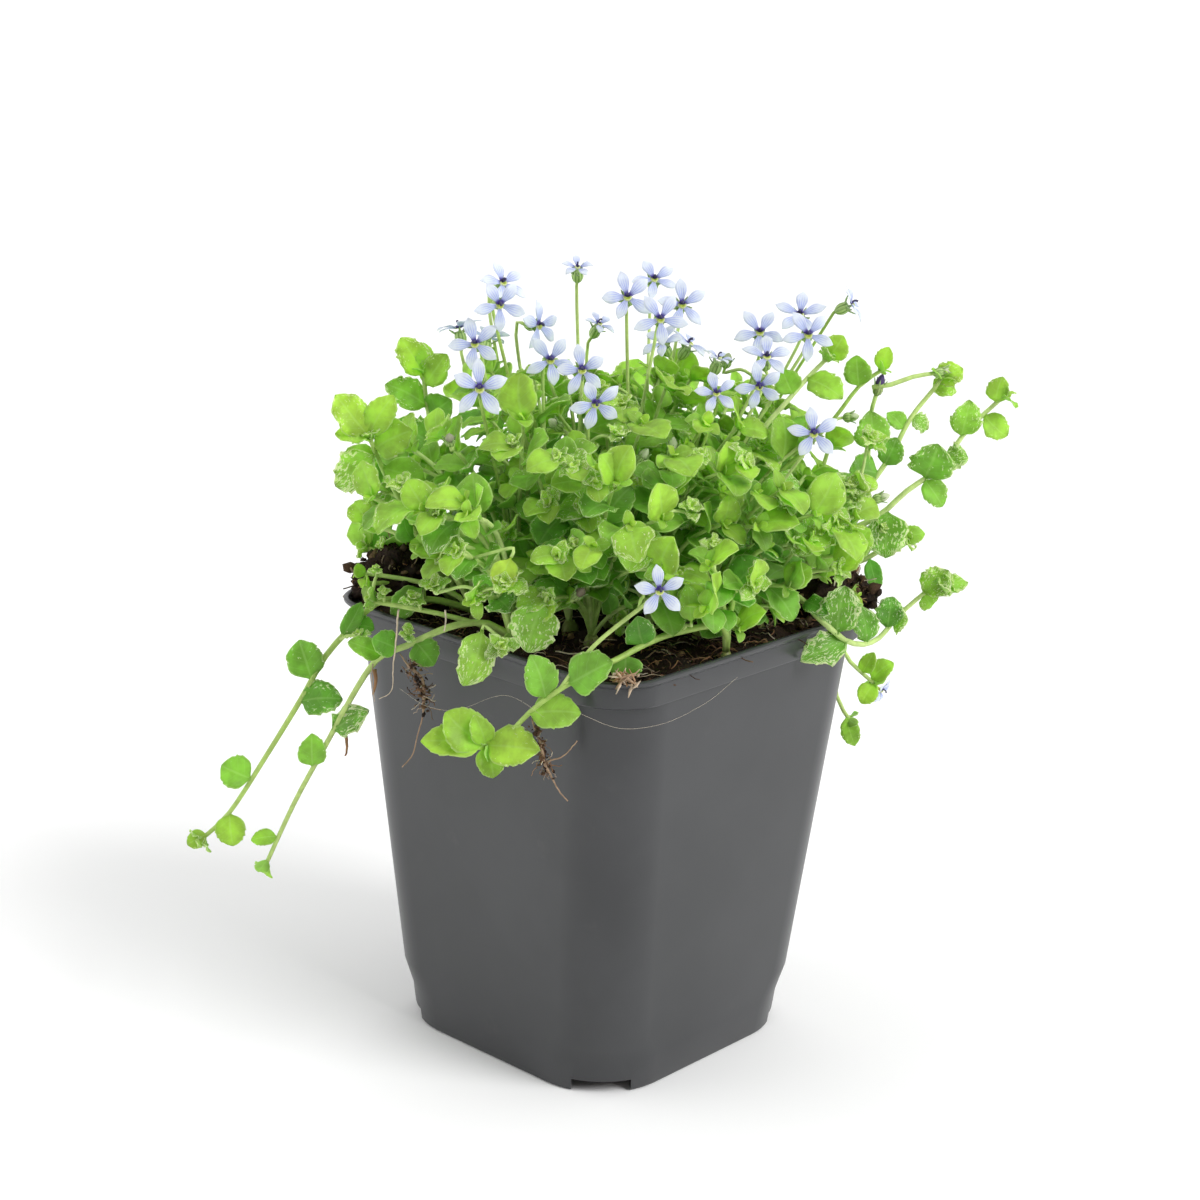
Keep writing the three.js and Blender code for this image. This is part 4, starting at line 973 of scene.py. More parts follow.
def leaf_tint(leaf, young=0.0):
    """Tone, youth and speckle of a leaf, from where it stands. The tone is painted shade: darker low in the
    mound and lighter high up, and it also varies in patches of noise.
    """
    point = leaf["tip"]
    depth = np.clip((point[2] - SHADE_FOOT) / SHADE_HEIGHT, 0, 1)
    light = noise.noise(Vector(point / 14.0))
    patch = noise.noise(Vector(point / 17.0 + 5.0))
    tone = np.clip(0.25 + 0.4 * depth + 0.6 * light + dice.normal(0, 0.15), 0, 1)
    youth = np.clip(young + dice.normal(0, 0.06), 0, 1)
    speckle = np.clip(2.2 * patch + dice.normal(-0.25, 0.25), 0, 1)
    return tone, youth, speckle, dice.random()


def add_rosette(pile, point, direction, size, variegated):
    """Young leaves bunched round the end of a shoot, crinkled and cream at their edges where variegated."""
    side, up = axes_across(direction, (0.02, 0.05, 0))
    start = dice.random() * FULL_TURN
    leaves = ROSETTE if variegated else ROSETTE[::2]
    for step, (share, lean) in enumerate(leaves):
        way = unit(round_axes(side, up, start + step * ROSETTE_STEP) + direction * lean)
        length = size * share * dice.uniform(0.85, 1.15)
        base = point - direction * (1 - step / len(leaves))
        leaf = {"base": base, "tip": base + way * length, "width": length * dice.uniform(0.62, 0.8),
                "facing": direction + way * 0.1 + UP * 0.1}
        tone, youth, speckle, own = leaf_tint(leaf, 0.4 + 0.5 * step / len(leaves))
        speckle = 0.75 + 0.25 * dice.random() if variegated else 0.3 * speckle
        add_blade(pile, leaf, 5, True, 1.2 * variegated + 0.2, (tone, youth, speckle, own))


def add_stem_mesh(pile, stem, slimming):
    path = smooth_path(stem["points"], 1.4 if stem["ending"] == "calyx" else 3)
    share = np.linspace(0, 1, len(path))
    radii = mix(stem["thick"], stem["thin"], share) * slimming
    tint = (np.clip(0.5 + dice.normal(0, 0.25), 0, 1), 0, 0.1 * dice.random(), dice.random())
    pile.tube(path, radii, 7 if radii[0] > 0.6 else 6, tint, STEM_SLOT)
    end, direction = path[-1], unit(path[-1] - path[-2])
    if stem["ending"] == "calyx":
        add_calyx(pile, end, stem["facing"])
    if stem["ending"] == "bud":
        add_bud(pile, end, direction, stem["bud"], stem.get("wilt", 0.0))


def add_calyx(pile, foot, axis):
    pile.lathe(foot, axis, CALYX_PROFILE, 20, (0.5, 0, 0, 0), CALYX_SLOT, 10, 0.05)
    add_sepals(pile, foot, axis, 0.4, (2.75, 0.95), (1.0, 1.5), 0.75)


def add_sepals(pile, foot, axis, start, place, reach, width, upright=False):
    """A ring of sepals: place and reach are each a distance along the axis and one outward."""
    side, up = axes_across(axis)
    for sepal in range(PETALS):
        way = round_axes(side, up, sepal * SEPAL_STEP + start)
        base = foot + axis * place[0] + way * place[1]
        add_sepal(pile, base, base + way * reach[1] + axis * reach[0], way if upright else axis, width)


def add_sepal(pile, base, tip, facing, width):
    leaf = {"base": base, "tip": tip, "facing": facing, "width": width}
    length, forward, face, across = leaf_axes(leaf)
    rows = SEPAL_ROWS[:, None]
    side = np.array([-1, 0, 1])[None]
    reach = side * SEPAL_HALVES[:, None] * width / 2
    sheet = base + forward * (rows * length)[..., None] + across * reach[..., None]
    sheet = np.broadcast_to(sheet + face * (rows**2 * 0.2)[..., None], (4, 3, 3))
    thickness = np.full((4, 3), SEPAL_THICKNESS)
    places = places_on(rows, side * 0.1 + 0.5)
    pile.plate(sheet, face, thickness, places, (0.5, 0.2, 0, 0), CALYX_SLOT, CALYX_SLOT)


def add_bud(pile, foot, axis, length, wilt=0.0):
    """A closed bud: a ribbed calyx with the folded petals at its end, which darken as it wilts."""
    share = length / 5
    calyx = [(height * share, radius) for height, radius in BUD_CALYX]
    petals = [(height * share, radius) for height, radius in BUD_PETALS]
    pile.lathe(foot, axis, calyx, 15, (0.5, 0, 0.3 * wilt, 0), CALYX_SLOT, 5, 0.06)
    pile.lathe(foot + axis * 2.2 * share, axis, petals, 10, (0.3, 1, wilt, 0),
               PETAL_SLOT if wilt > 0.9 else CALYX_SLOT, 5, 0.1)
    add_sepals(pile, foot, axis, 0, (2.0 * share, 0.9), (1.9 * share, 0.45), 0.6, True)


def add_crown_mesh(pile, crown, radius):
    foot = np.array([*crown["place"][:2], ROOT_DEPTH])
    profile = [(0, radius * 0.9), (2, radius), (4, radius * 0.8), (5.2, radius * 0.45)]
    pile.lathe(foot, UP, profile, 9, (0.35, 0, 0.65, 0.5), STEM_SLOT, 3, 0.12)


# Flowers: the eye's heights and radii with how pale each ring is, and the anthers' heights and lean

EYE_SIDES = 16
EYE_PROFILE = [(-0.12, 0.8), (0.15, 0.95), (0.4, 0.9), (0.5, 0.7), (0.4, 0.5), (0.2, 0.3), (0.15, 0.1)]
EYE_PALE = np.array([0.9, 1, 0.9, 0.35, 0, 0, 0])
ANTHERS = [(0.15, 0.3), (0.7, 0.5), (1.25, 0.35), (1.5, 0.0)]


def add_bloom(pile, bloom):
    """Five petals round a raised throat whose upper side is dark, with the anthers over it."""
    centre, face, radius = bloom["centre"], bloom["face"], bloom["radius"]
    top, right = bloom_axes(face)
    size = radius / PETAL_RADIUS
    rows, side, halves = sheet_rows(PETAL_ROWS, PETAL_HALVES, 7)
    for petal in range(PETALS):
        angle = bloom["turn"] + petal * 2 * math.pi / PETALS + dice.normal(0, 0.07)
        way = round_axes(top, right, angle)
        out = np.cross(way, face)
        length = radius * dice.uniform(0.93, 1.06) - 0.7
        half = PETAL_HALF_WIDTH * size * dice.uniform(0.84, 1.0)
        reach = side * halves * half
        lift = 0.1 + 0.95 * np.sin(rows * 2.2) * PETAL_LIFT - dice.uniform(0, 0.7) * rows**3
        cup = dice.uniform(-0.05, 0.14) * reach**2 - 0.12 * np.exp(-((side / 0.25) ** 2)) * (1 - rows)
        turned = dice.normal(0, 0.15) * rows
        sheet = (centre + way * (0.7 + rows * length)[..., None]
                 + (out * np.cos(turned)[..., None] + face * np.sin(turned)[..., None]) * reach[..., None]
                 + face * (lift + cup)[..., None])
        throat = np.clip(0.35 + 0.75 * math.cos(angle), 0.15, 1)
        thickness = 0.26 - 0.1 * np.abs(side) + 0 * rows
        pile.plate(sheet, face, thickness, places_on(rows, side / 2 + 0.5), (throat, 1, 0, dice.random()))
    turns = np.arange(EYE_SIDES) * 2 * math.pi / EYE_SIDES
    ring = top * np.cos(turns)[:, None] + right * np.sin(turns)[:, None]
    rings = [centre + ring * spread * size + face * height for height, spread in EYE_PROFILE]
    upper = np.clip(np.cos(turns) * 2.2 + 0.15, 0, 1)
    tint = np.zeros((len(EYE_PROFILE), EYE_SIDES, 4))
    tint[..., 0] = upper
    tint[..., 1] = EYE_PALE[:, None] * (1 - upper)
    tint[4:, :, 2] = 0.5 * upper
    pile.skin(rings, tint.reshape(-1, 4), EYE_SLOT)
    anthers = smooth_path([centre + face * height + top * lean for height, lean in ANTHERS], 0.3)
    pile.tube(anthers, np.linspace(0.24, 0.32, len(anthers)) * size, 7, (0.9, 0, 0.55, 0), EYE_SLOT)


for bloom in blooms:
    pile = Pile()
    add_bloom(pile, bloom)
    pile.build(bloom["name"] + "_star", STAR, "petal_blue", [bloom["name"]])


# Shoots and leaves

# Filler shoots: how far they spread and rise and how they curve, each as least and most
FILLER_SHOOTS = 8
BARE_SHOOTS = 6
FILLER_SPREAD = (0.8, 1.75)
FILLER_RISE = (0.12, 1.02)
BARE_RISE = (0.6, 1.08)
FILLER_CURVE = (1.3, 1.8)
FILLER_RADIUS = 0.7
# Filler leaves: the share of a shoot that they take up, from its tip
FILLER_REACH = 0.8
BARE_REACH = 0.25
FILLER_TRIES = 5
FILLER_SPACING = 5.2
FILLER_EASE = 0.55
FILLER_LENGTHS = (5, 10.2)
SMALL_LEAF = 8.4
# Where the bare peat ends: place to the right, and height as the camera sees it
BARE_PLACES = (-39, -33, -28, -4, 4, 24, 30, 39, 43)
BARE_HEIGHTS = (107, 99, 93, 92, 87, 87, 90.5, 92, 106)


def is_over_peat(point):
    """True where the photo shows bare peat: at the left and right corners and behind the front rim."""
    seen_height = point[2] * math.cos(CAMERA_ELEVATION) + point[1] * math.sin(CAMERA_ELEVATION)
    return seen_height < np.interp(point[0], BARE_PLACES, BARE_HEIGHTS)


def fill_crown(crown):
    """More shoots and leaves between the placed ones, as thin as the gaps allow."""
    shoots = []
    behind = 0.1 if crown["place"][1] > -5 else 0.0
    for filler in range(FILLER_SHOOTS + BARE_SHOOTS):
        bare = filler >= FILLER_SHOOTS
        rise = dice.uniform(*(BARE_RISE if bare else FILLER_RISE))
        habit = (dice.uniform(*FILLER_SPREAD), rise + behind * dice.random(), dice.uniform(*FILLER_CURVE))
        swing = dice.normal(0, 10) / (np.linalg.norm(crown["place"]) + 6)
        shoot = shoot_from(crown, habit, swing, dice.random)
        shoot.update(thick=FILLER_RADIUS, thin=STEM_TIP_RADIUS, id=f"{crown['name']}/filler_{filler}")
        points, radii = stem_balls(shoot)
        start = len(points) // 4
        if room.is_clear(points[start:], radii[start:] * 0.2, owners=(crown["name"],)):
            shoot["bare"] = bare
            shoots.append(shoot)
    placed = [] if crown in runners else [stem for stem in crown["stems"] if stem["ending"] == "tip"]
    for shoot in placed + shoots:
        path = smooth_path(shoot["points"], BALL_STEP)
        length = lengths(path).sum()
        reach = BARE_REACH if shoot.get("bare") else FILLER_REACH
        for back in np.arange(0.5, length * reach, FILLER_SPACING):
            share, turn = 1 - back / length, dice.random() * FULL_TURN
            for attempt in range(FILLER_TRIES):
                size = dice.uniform(*FILLER_LENGTHS) * (1 - 0.07 * attempt)
                leaf = leaf_on(path, share, turn + attempt * 1.3, size)
                leaf["width"] *= dice.uniform(0.84, 1.02)
                if is_over_peat(leaf["tip"]):
                    continue
                if room.is_clear(*leaf_balls(leaf, FILLER_EASE), stem=shoot["id"]):
                    add_leaf(crown, leaf, shoot, FILLER_EASE)
                    leaf["filler"] = True
                    break
    crown["stems"] += shoots


for crown in runners:
    if crown["name"] == "top_right":
        crown["stems"][2]["points"] = np.array(LOWER_BUD, float)
    if crown["name"] == "upper_right":
        crown["stems"][1]["wilt"] = 1.0
for crown in tufts + runners:
    fill_crown(crown)

# Where the photo's variegated leaves are
VARIEGATED = np.array([[-21, -48, 115], [42, -20, 94], [60, -9, 101], [66, -4, 101], [75, 1, 107],
                       [52, -14, 107], [56, -8, 141], [50, -18, 132], [61, 2, 112], [78, 5, 134],
                       [69, 9, 139], [-59, -13, 127], [37, -20, 130], [-50, -31, 85]])
VARIEGATED_SHARE = 0.4
for crown in tufts + runners:
    is_tuft = crown in tufts
    pile = Pile()
    for leaf in crown["leaves"]:
        tone, youth, speckle, own = leaf_tint(leaf, 0.05 + 0.55 * max(leaf["share"] - 0.75, 0) / 0.25)
        spotted = np.exp(-(np.linalg.norm(VARIEGATED - leaf["tip"], axis=1).min() / 9) ** 2)
        speckle = max(speckle * 0.6, spotted)
        small = "filler" in leaf and leaf["width"] < SMALL_LEAF
        add_blade(pile, leaf, 5 if small else 7, small, 0.1 + 0.8 * speckle, (tone, youth, speckle, own))
    for stem in crown["stems"]:
        add_stem_mesh(pile, stem, STEM_SLIMMING if is_tuft else RUNNER_SLIMMING)
        if stem["ending"] == "tip":
            path = smooth_path(stem["points"], BALL_STEP)
            variegated = dice.random() < VARIEGATED_SHARE
            add_rosette(pile, path[-1], unit(path[-1] - path[-2]), dice.uniform(3.4, 5.2), variegated)
    add_crown_mesh(pile, crown, CROWN_RADIUS if is_tuft else RUNNER_CROWN_RADIUS)
    name = crown["name"] if is_tuft else "runner_" + crown["name"]
    pile.build(name + "_leaves", GREEN, "leaf_green" if is_tuft else "runner_green", [name])


# Sprouts seen in the photo: crinkled variegated ones with the way they point and their size

SPROUTS = [
    ((-25, -46, 114), (-0.3, -0.5, 0.6), 3.4), ((-21, -48, 117), (0, -0.6, 0.8), 5.6),
    ((50, -18, 132), (0.3, -0.5, 0.7), 4.2), ((55, -9, 140), (0.3, -0.4, 0.8), 5.2),
    ((75, 2, 106), (0.8, -0.2, 0.4), 4.4), ((-53, -22, 97), (-0.4, -0.5, 0.7), 2.7),
    ((-47, -30, 98.5), (-0.3, -0.6, 0.7), 2.8), ((-50, -16, 110), (-0.2, -0.4, 0.9), 2.2),
    ((-48, -20, 106), (0, -0.6, 0.7), 2.4), ((-55.5, -20, 96.5), (-0.5, -0.3, 0.8), 2.4),
    ((-41, -28, 107), (0.1, -0.5, 0.9), 3.2), ((-42, -32, 101), (0.2, -0.6, 0.8), 2.6),
    ((-44, -21, 130), (-0.3, -0.4, 0.8), 4.8), ((-33, -38, 122), (-0.1, -0.6, 0.8), 3.4),
    ((-46, -19, 123), (-0.4, -0.5, 0.7), 3.8), ((-36, -38, 113), (-0.2, -0.6, 0.7), 3.6),
    ((16, -40, 132), (0.2, -0.5, 0.8), 3.8), ((18, -32, 141), (0.1, -0.4, 0.9), 3.8),
    ((1, -28, 144), (0, -0.4, 0.9), 3.8), ((21, -42, 125), (0.2, -0.6, 0.7), 3.2),
    ((43, -28, 124), (0.3, -0.6, 0.7), 4.4), ((-7, -46, 125), (-0.1, -0.6, 0.8), 3.6),
    ((36, -34, 132), (0.3, -0.5, 0.8), 3.4), ((-3, -3, 148), (0, -0.2, 1), 4.2),
    ((60, 2, 118), (0.6, -0.3, 0.6), 3),
]
# Buds on stalks: place, way they point, length and how far they have wilted
BUDS = [
    ((5, -24, 137), (0.5, -0.3, 0.8), 4.4, 0), ((12, -24, 138.5), (0.1, -0.2, 1), 4.8, 0),
    ((50, 4, 142), (1, 0, 0.15), 3.6, 0), ((-7, -40, 112), (0.4, -0.5, 0.6), 4.2, 0.85),
    ((7, -46, 115.5), (0, -0.2, 1), 3, 0), ((-11, -12, 141), (-0.6, -0.3, 0.5), 4, 0.1),
    ((24, 10, 151), (0.2, -0.3, 1), 3.8, 0), ((-34, -22, 139), (-0.1, -0.4, 0.9), 3.2, 0.5),
]
# Leaves: foot, tip, width, way they face, and youth and speckle
LEAVES = [
    ((-25.5, -46, 106.5), (-28.5, -52, 96.5), 7.8, (-0.1, -1, 0.35), 0.35, 0.75),
    ((-13, -44, 112), (-16, -49, 103), 10, (0.1, -1, 0.5), 0.15, 0.85),
    ((-20, -46, 122), (-21.5, -49, 115.5), 5.6, (0, -1, 0.4), 1, 0.2),
    ((-40, -14, 105.5), (-46.5, -17, 99.5), 6.5, (-0.5, -0.8, 0.5), 0, 0.3),
    ((17, -44, 109), (16, -45, 117), 4.6, (0.1, -1, 0.2), 0.3, 0.2),
]
STALK_THIN = 0.36


def nearest_stem(point):
    """The nearest place below a point on any stem."""
    paths = [smooth_path(stem["points"], BALL_STEP) for crown in tufts + runners for stem in crown["stems"]]
    points = np.concatenate(paths)
    points = points[points[:, 2] < point[2] - 1.5]
    return points[np.linalg.norm(points - point, axis=1).argmin()]


def add_stalk_to(pile, end, direction):
    foot = nearest_stem(end)
    reach = np.linalg.norm(end - foot)
    bend = mix(foot, end, 0.45) + UP * 0.1 * reach
    path = smooth_path([foot, bend, end - direction * 0.2 * reach, end], 1.0)
    pile.tube(path, np.full(len(path), STALK_THIN), 6, (0.6, 0, 0, 0), STEM_SLOT)


sprouts = Pile()
for place, way, size in SPROUTS:
    place, way = np.array(place, float), unit(np.array(way, float))
    add_stalk_to(sprouts, place, way)
    add_rosette(sprouts, place, way, size, True)
for place, way, length, wilt in BUDS:
    place, way = np.array(place, float), unit(np.array(way, float))
    add_stalk_to(sprouts, place, way)
    add_bud(sprouts, place, way, length, wilt)
for foot, tip, width, facing, youth, speckle in LEAVES:
    leaf = {"base": np.array(foot, float), "tip": np.array(tip, float), "width": width,
            "facing": np.array(facing, float)}
    add_stalk_to(sprouts, leaf["base"], unit(leaf["tip"] - leaf["base"]))
    add_blade(sprouts, leaf, 9, False, 0.5 * speckle, (0.6, youth, speckle, dice.random()))
sprouts.build("sprouts", GREEN, "leaf_green")

behind = Pile()
add_bloom(behind, {"centre": np.array([66.0, 35.5, 69.0]), "face": unit(np.array([0.8, -0.5, -0.3])),
                   "turn": 0.3, "radius": 3.4})
behind.tube(np.array([[64, 33.4, 71.4], [64.6, 34.6, 70.2], [65.9, 35.5, 69]]), np.full(3, STALK_THIN), 6,
            (0, 0, 0, 0), EYE_SLOT)
behind.build("bloom_half_hidden", STAR, "petal_blue")


# Roots: thin strands that wander round each placed path, with small clods of peat in the thick part

HAIRS_PER_STEP = 2.6
CLODS_PER_STEP = 4
CRUMB = np.array([[0, 0, 1], [0.89, 0, 0.45], [0.28, 0.85, 0.45], [-0.72, 0.53, 0.45], [-0.72, -0.53, 0.45],
                  [0.28, -0.85, 0.45], [0.72, 0.53, -0.45], [-0.28, 0.85, -0.45], [-0.89, 0, -0.45],
                  [-0.28, -0.85, -0.45], [0.72, -0.53, -0.45], [0, 0, -1]])
CRUMB_FACES = [[0, 1, 2], [0, 2, 3], [0, 3, 4], [0, 4, 5], [0, 5, 1], [1, 6, 2], [2, 7, 3], [3, 8, 4],
               [4, 9, 5], [5, 10, 1], [2, 6, 7], [3, 7, 8], [4, 8, 9], [5, 9, 10], [1, 10, 6], [11, 7, 6],
               [11, 8, 7], [11, 9, 8], [11, 10, 9], [11, 6, 10]]


def add_crumb(pile, place, size, tint, slot=0):
    turn = Matrix.Rotation(dice.random() * FULL_TURN, 3, Vector(dice.normal(0, 1, 3)))
    count = len(CRUMB)
    shape = CRUMB * (1 + dice.normal(0, 0.3, (count, 1))) * dice.uniform(0.35, 1.35, 3) * size
    slots = [slot] * len(CRUMB_FACES)
    pile.add(place + shape @ np.array(turn), np.zeros((count, 2)), tint, CRUMB_FACES, slots)


def add_root(pile, path, radii):
    fine = smooth_path(path, 0.6)
    count = len(fine)
    widths = np.interp(np.linspace(0, 1, count), np.linspace(0, 1, len(radii)), radii)
    crooked = fine + np.cumsum(dice.normal(0, 0.05, (count, 3)), axis=0)
    pile.tube(crooked, np.clip(0.28 * widths, 0.13, 0.34), 6, (0.65, 0.2, 0, 0))
    thick = np.flatnonzero(widths > 0.8)
    for _ in range(int(HAIRS_PER_STEP * len(thick))):
        start = fine[dice.choice(thick)] + dice.normal(0, 0.4, 3) * widths.max()
        way = unit(dice.normal(0, 1, 3) + np.array([0, 0, -0.7]))
        bends = np.cumsum(dice.normal(0, 0.32, (9, 3)), axis=0)
        steps = np.linspace(0, dice.uniform(1.2, 3.4), 9)[:, None]
        pile.tube(start + way * steps + bends * steps * 0.22, np.full(9, dice.uniform(0.05, 0.12)), 4,
                  (dice.random() * 0.8, dice.random() ** 4, 0, 0))
    for _ in range(CLODS_PER_STEP * len(thick)):
        place = fine[dice.choice(thick)] + dice.normal(0, 0.42, 3) * widths.max()
        add_crumb(pile, place, dice.uniform(0.15, 0.55), (dice.random() ** 2, 0, 0, 0), 1)


for name, stems in ROOTS.items():
    pile = Pile()
    for path, radii in stems:
        add_root(pile, path, radii)
    pile.build(name + "_strands", [ROOT, PEAT], "root_brown", [name])


# Pot

def wall_half(height):
    return mix(BASE_HALF, WALL_TOP_HALF, height / (POT_HEIGHT - BAND_HEIGHT))


def rounded_square(half, corner, height, steps=CORNER_STEPS, straights=1):
    points = []
    for quarter in range(4):
        middle = math.pi / 2 * (quarter + 0.5)
        centre = (half - corner) * math.sqrt(2) * np.array([math.cos(middle), math.sin(middle)])
        for step in range(steps + 1):
            angle = math.pi / 2 * (quarter + step / steps)
            points.append([*(centre + corner * np.array([math.cos(angle), math.sin(angle)])), height])
        end = np.array(points[-1][:2])
        following = end * ([1, -1] if quarter % 2 else [-1, 1])
        for step in range(1, straights):
            points.append([*mix(end, following, step / straights), height])
    return np.array(points)


def inner_rings(inset, **detail):
    """Rings up the wall, a distance inside it. Each is given by its half width, corner and height."""
    band_foot = POT_HEIGHT - BAND_HEIGHT
    rings = [
        (wall_half(0), FOOT_CORNER, FLOOR_THICKNESS),
        (wall_half(FOOT_TOP), FOOT_CORNER, FOOT_TOP),
        (wall_half(FOOT_SHOULDER), SHOULDER_CORNER, FOOT_SHOULDER),
        (WALL_TOP_HALF, WALL_CORNER, band_foot - BAND_RELIEF),
        (WALL_TOP_HALF + BAND_RELIEF, WALL_CORNER, band_foot + BAND_RELIEF),
    ]
    return [rounded_square(half - inset, corner - inset, height, **detail) for half, corner, height in rings]


def pot_rings():
    """Rings up the pot's outside, over its rim and down its inside."""
    band_foot, lip_foot = POT_HEIGHT - BAND_HEIGHT, POT_HEIGHT - LIP_HEIGHT
    foot_middle, wall_middle = (FOOT_TOP + FOOT_SHOULDER) / 2, POT_HEIGHT / 2
    outside = [
        (BASE_HALF - FOOT_CHAMFER, FOOT_CORNER - FOOT_CHAMFER, 0),
        (wall_half(0) - FOOT_ROUND, FOOT_CORNER, FOOT_ROUND),
        (wall_half(FOOT_CHAMFER), FOOT_CORNER, FOOT_CHAMFER),
        (wall_half(FOOT_TOP), FOOT_CORNER, FOOT_TOP),
        (wall_half(foot_middle), 0.5 * (FOOT_CORNER + SHOULDER_CORNER), foot_middle),
        (wall_half(FOOT_SHOULDER), SHOULDER_CORNER, FOOT_SHOULDER),
        (wall_half(wall_middle), mix(SHOULDER_CORNER, WALL_CORNER, 0.45), wall_middle),
        (WALL_TOP_HALF, WALL_CORNER, band_foot),
        (BAND_HALF - 0.2, BAND_CORNER + 0.4, band_foot + 0.1),
        (BAND_HALF, BAND_CORNER, band_foot + BAND_STEP + 0.15),
        (BAND_HALF, BAND_CORNER, lip_foot - 0.1),
        (RIM_HALF - 0.25, RIM_CORNER, POT_HEIGHT - LIP_EDGE - 0.35),
        (RIM_HALF, RIM_CORNER, POT_HEIGHT - LIP_EDGE),
        (RIM_HALF, RIM_CORNER, POT_HEIGHT - RIM_ROUND),
        (RIM_HALF - RIM_ROUND, RIM_CORNER, POT_HEIGHT),
        (RIM_HALF - WALL_THICKNESS + RIM_ROUND, RIM_CORNER - WALL_THICKNESS, POT_HEIGHT),
        (RIM_HALF - WALL_THICKNESS, RIM_CORNER - WALL_THICKNESS, POT_HEIGHT - RIM_ROUND),
    ]
    return [rounded_square(*ring) for ring in outside] + inner_rings(WALL_THICKNESS)[::-1]


def make_drain(angle):
    reach = (DRAIN_OUTER_REACH - DRAIN_INNER_REACH) * MM
    bpy.ops.mesh.primitive_cube_add(size=1)
    cutter = bpy.context.object
    turn = math.radians(angle)
    middle = (DRAIN_OUTER_REACH + DRAIN_INNER_REACH) / 2 * MM
    cutter.matrix_world = (Matrix.Translation((middle * math.cos(turn), middle * math.sin(turn), 0))
                           @ Matrix.Rotation(turn, 4, "Z")
                           @ Matrix.Diagonal((reach, DRAIN_WIDTH * MM, 2 * DRAIN_HEIGHT * MM, 1)))
    return cutter


def make_pot():
    pile = Pile()
    pile.skin([pot_to_plant(ring) for ring in pot_rings()], (0, 0, 0, 0))
    pot = pile.build("pot_shell", [POT], "pot", ["pot"])
    cutters = [make_drain(angle) for angle in (45, 135, 225, 315)]
    for cutter in cutters:
        cut = pot.modifiers.new("drain", "BOOLEAN")
        cut.object, cut.operation, cut.solver = cutter, "DIFFERENCE", "EXACT"
    shaped = pot.evaluated_get(bpy.context.evaluated_depsgraph_get())
    pot.data = bpy.data.meshes.new_from_object(shaped)
    pot.modifiers.clear()
    for cutter in cutters:
        bpy.data.objects.remove(cutter)
    pot.data.set_sharp_from_angle(angle=math.radians(38))


make_pot()


# Peat, crumbs and fibres. It is a little fuller here than the solid, up to the lip

PEAT_RISE = 1.3
PEAT_RINGS = 52
CRUMBS = 900
FIBRES = 800
CRUMBS_PER_RADIUS = 14
# A dry scrap on the front rim
SCRAP = np.array([4.0, -58.2, 101.2])
SCRAP_SHREDS = 34
# Clumps over the left and right corners: middle and radii
CLUMPS = [((-46, 0, 103.5), (8.6, 7.6, 7.2)), ((-52, -0.5, 101), (4, 4.2, 3.8)), ((-41, 3, 108), (4, 5, 4)),
          ((47, 0, 103.6), (7.6, 7.6, 6.6)), ((53, 0.5, 103), (5.4, 4.4, 4.6))]


def lump(x, y, scale):
    return noise.fractal(Vector((x / scale, y / scale, 3.7)), 0.7, 2.1, 5)


def make_soil():
    detail = {"steps": 12, "straights": 30}
    sides = inner_rings(WALL_THICKNESS + GAP, **detail)
    sides[0][:, 2] += GAP
    edge = sides[-1]
    edge[:, 2] = SOIL_EDGE_LEVEL
    rings = [pot_to_plant(ring) for ring in sides]
    for share in [0.995, *np.linspace(0.98, 0.03, PEAT_RINGS)]:
        ring = pot_to_plant(edge * np.array([share, share, 1]))
        height = soil_height(ring[:, 0], ring[:, 1])
        rough = np.array([lump(x, y, 7.0) + 0.45 * lump(x, y, 2.2) for x, y in ring[:, :2]])
        settled = np.clip((1 - share) / 0.05, 0.3, 1)
        ring[:, 2] = mix(SOIL_EDGE_LEVEL, height + rough * 1.1 + PEAT_RISE, settled)
        rings.append(ring)
    pile = Pile()
    pile.skin(rings, (0, 0, 0, 0))
    pile.build("peat_fill", [PEAT], "soil", ["soil"])


def surface_point(reach=41.0):
    """A point on the peat, in the plant's frame, denser at its edges and on its heaps."""
    while True:
        pot_point = dice.uniform(-reach, reach, 2)
        if np.hypot(*np.maximum(np.abs(pot_point) - (reach - 10), 0)) < 10:
            x, y = pot_to_plant(np.array([[*pot_point, 0]]))[0][:2]
            if dice.random() < 0.35 + 0.65 * (np.abs(pot_point).max() / reach) ** 3:
                return np.array([x, y, soil_height(x, y) + 0.9 * lump(x, y, 7.0) + PEAT_RISE])


def clump_point(middle, radii, way):
    """The point of a clump's rough skin that lies one way from its middle."""
    swell = 1 + 0.4 * noise.fractal(Vector(way * 2.2 + middle * 0.37), 0.8, 2.2, 4)
    return middle + way * radii * swell


def add_clump(pile, middle, radii):
    rings = []
    for polar in np.linspace(math.pi - 0.1, 0.1, 26):
        ring = []
        for turn in np.linspace(0, 2 * math.pi, 36, endpoint=False):
            level = np.array([math.cos(turn), math.sin(turn), 0])
            way = level * math.sin(polar) + UP * math.cos(polar)
            ring.append(clump_point(middle, radii, way))
        rings.append(ring)
    pile.skin(rings, (0, 0, 0, 0))


def add_fibre(pile, place, length, radius, tint, lie=0.35):
    """A fibre that wanders over the peat and rises from it in the middle, by lie."""
    heading = dice.random() * FULL_TURN
    steps = 8
    angle = heading + np.cumsum(dice.normal(0, 0.28, steps))
    rise = np.cumsum(dice.normal(0, lie * 0.4, steps)) * length / steps
    rise = rise + np.sin(np.linspace(0, math.pi, steps)) * lie
    x, y = (np.cumsum(way) * length / steps for way in (np.cos(angle), np.sin(angle)))
    path = place + np.stack([x, y, rise], 1)
    pile.tube(path, np.full(steps, radius), 4, tint)


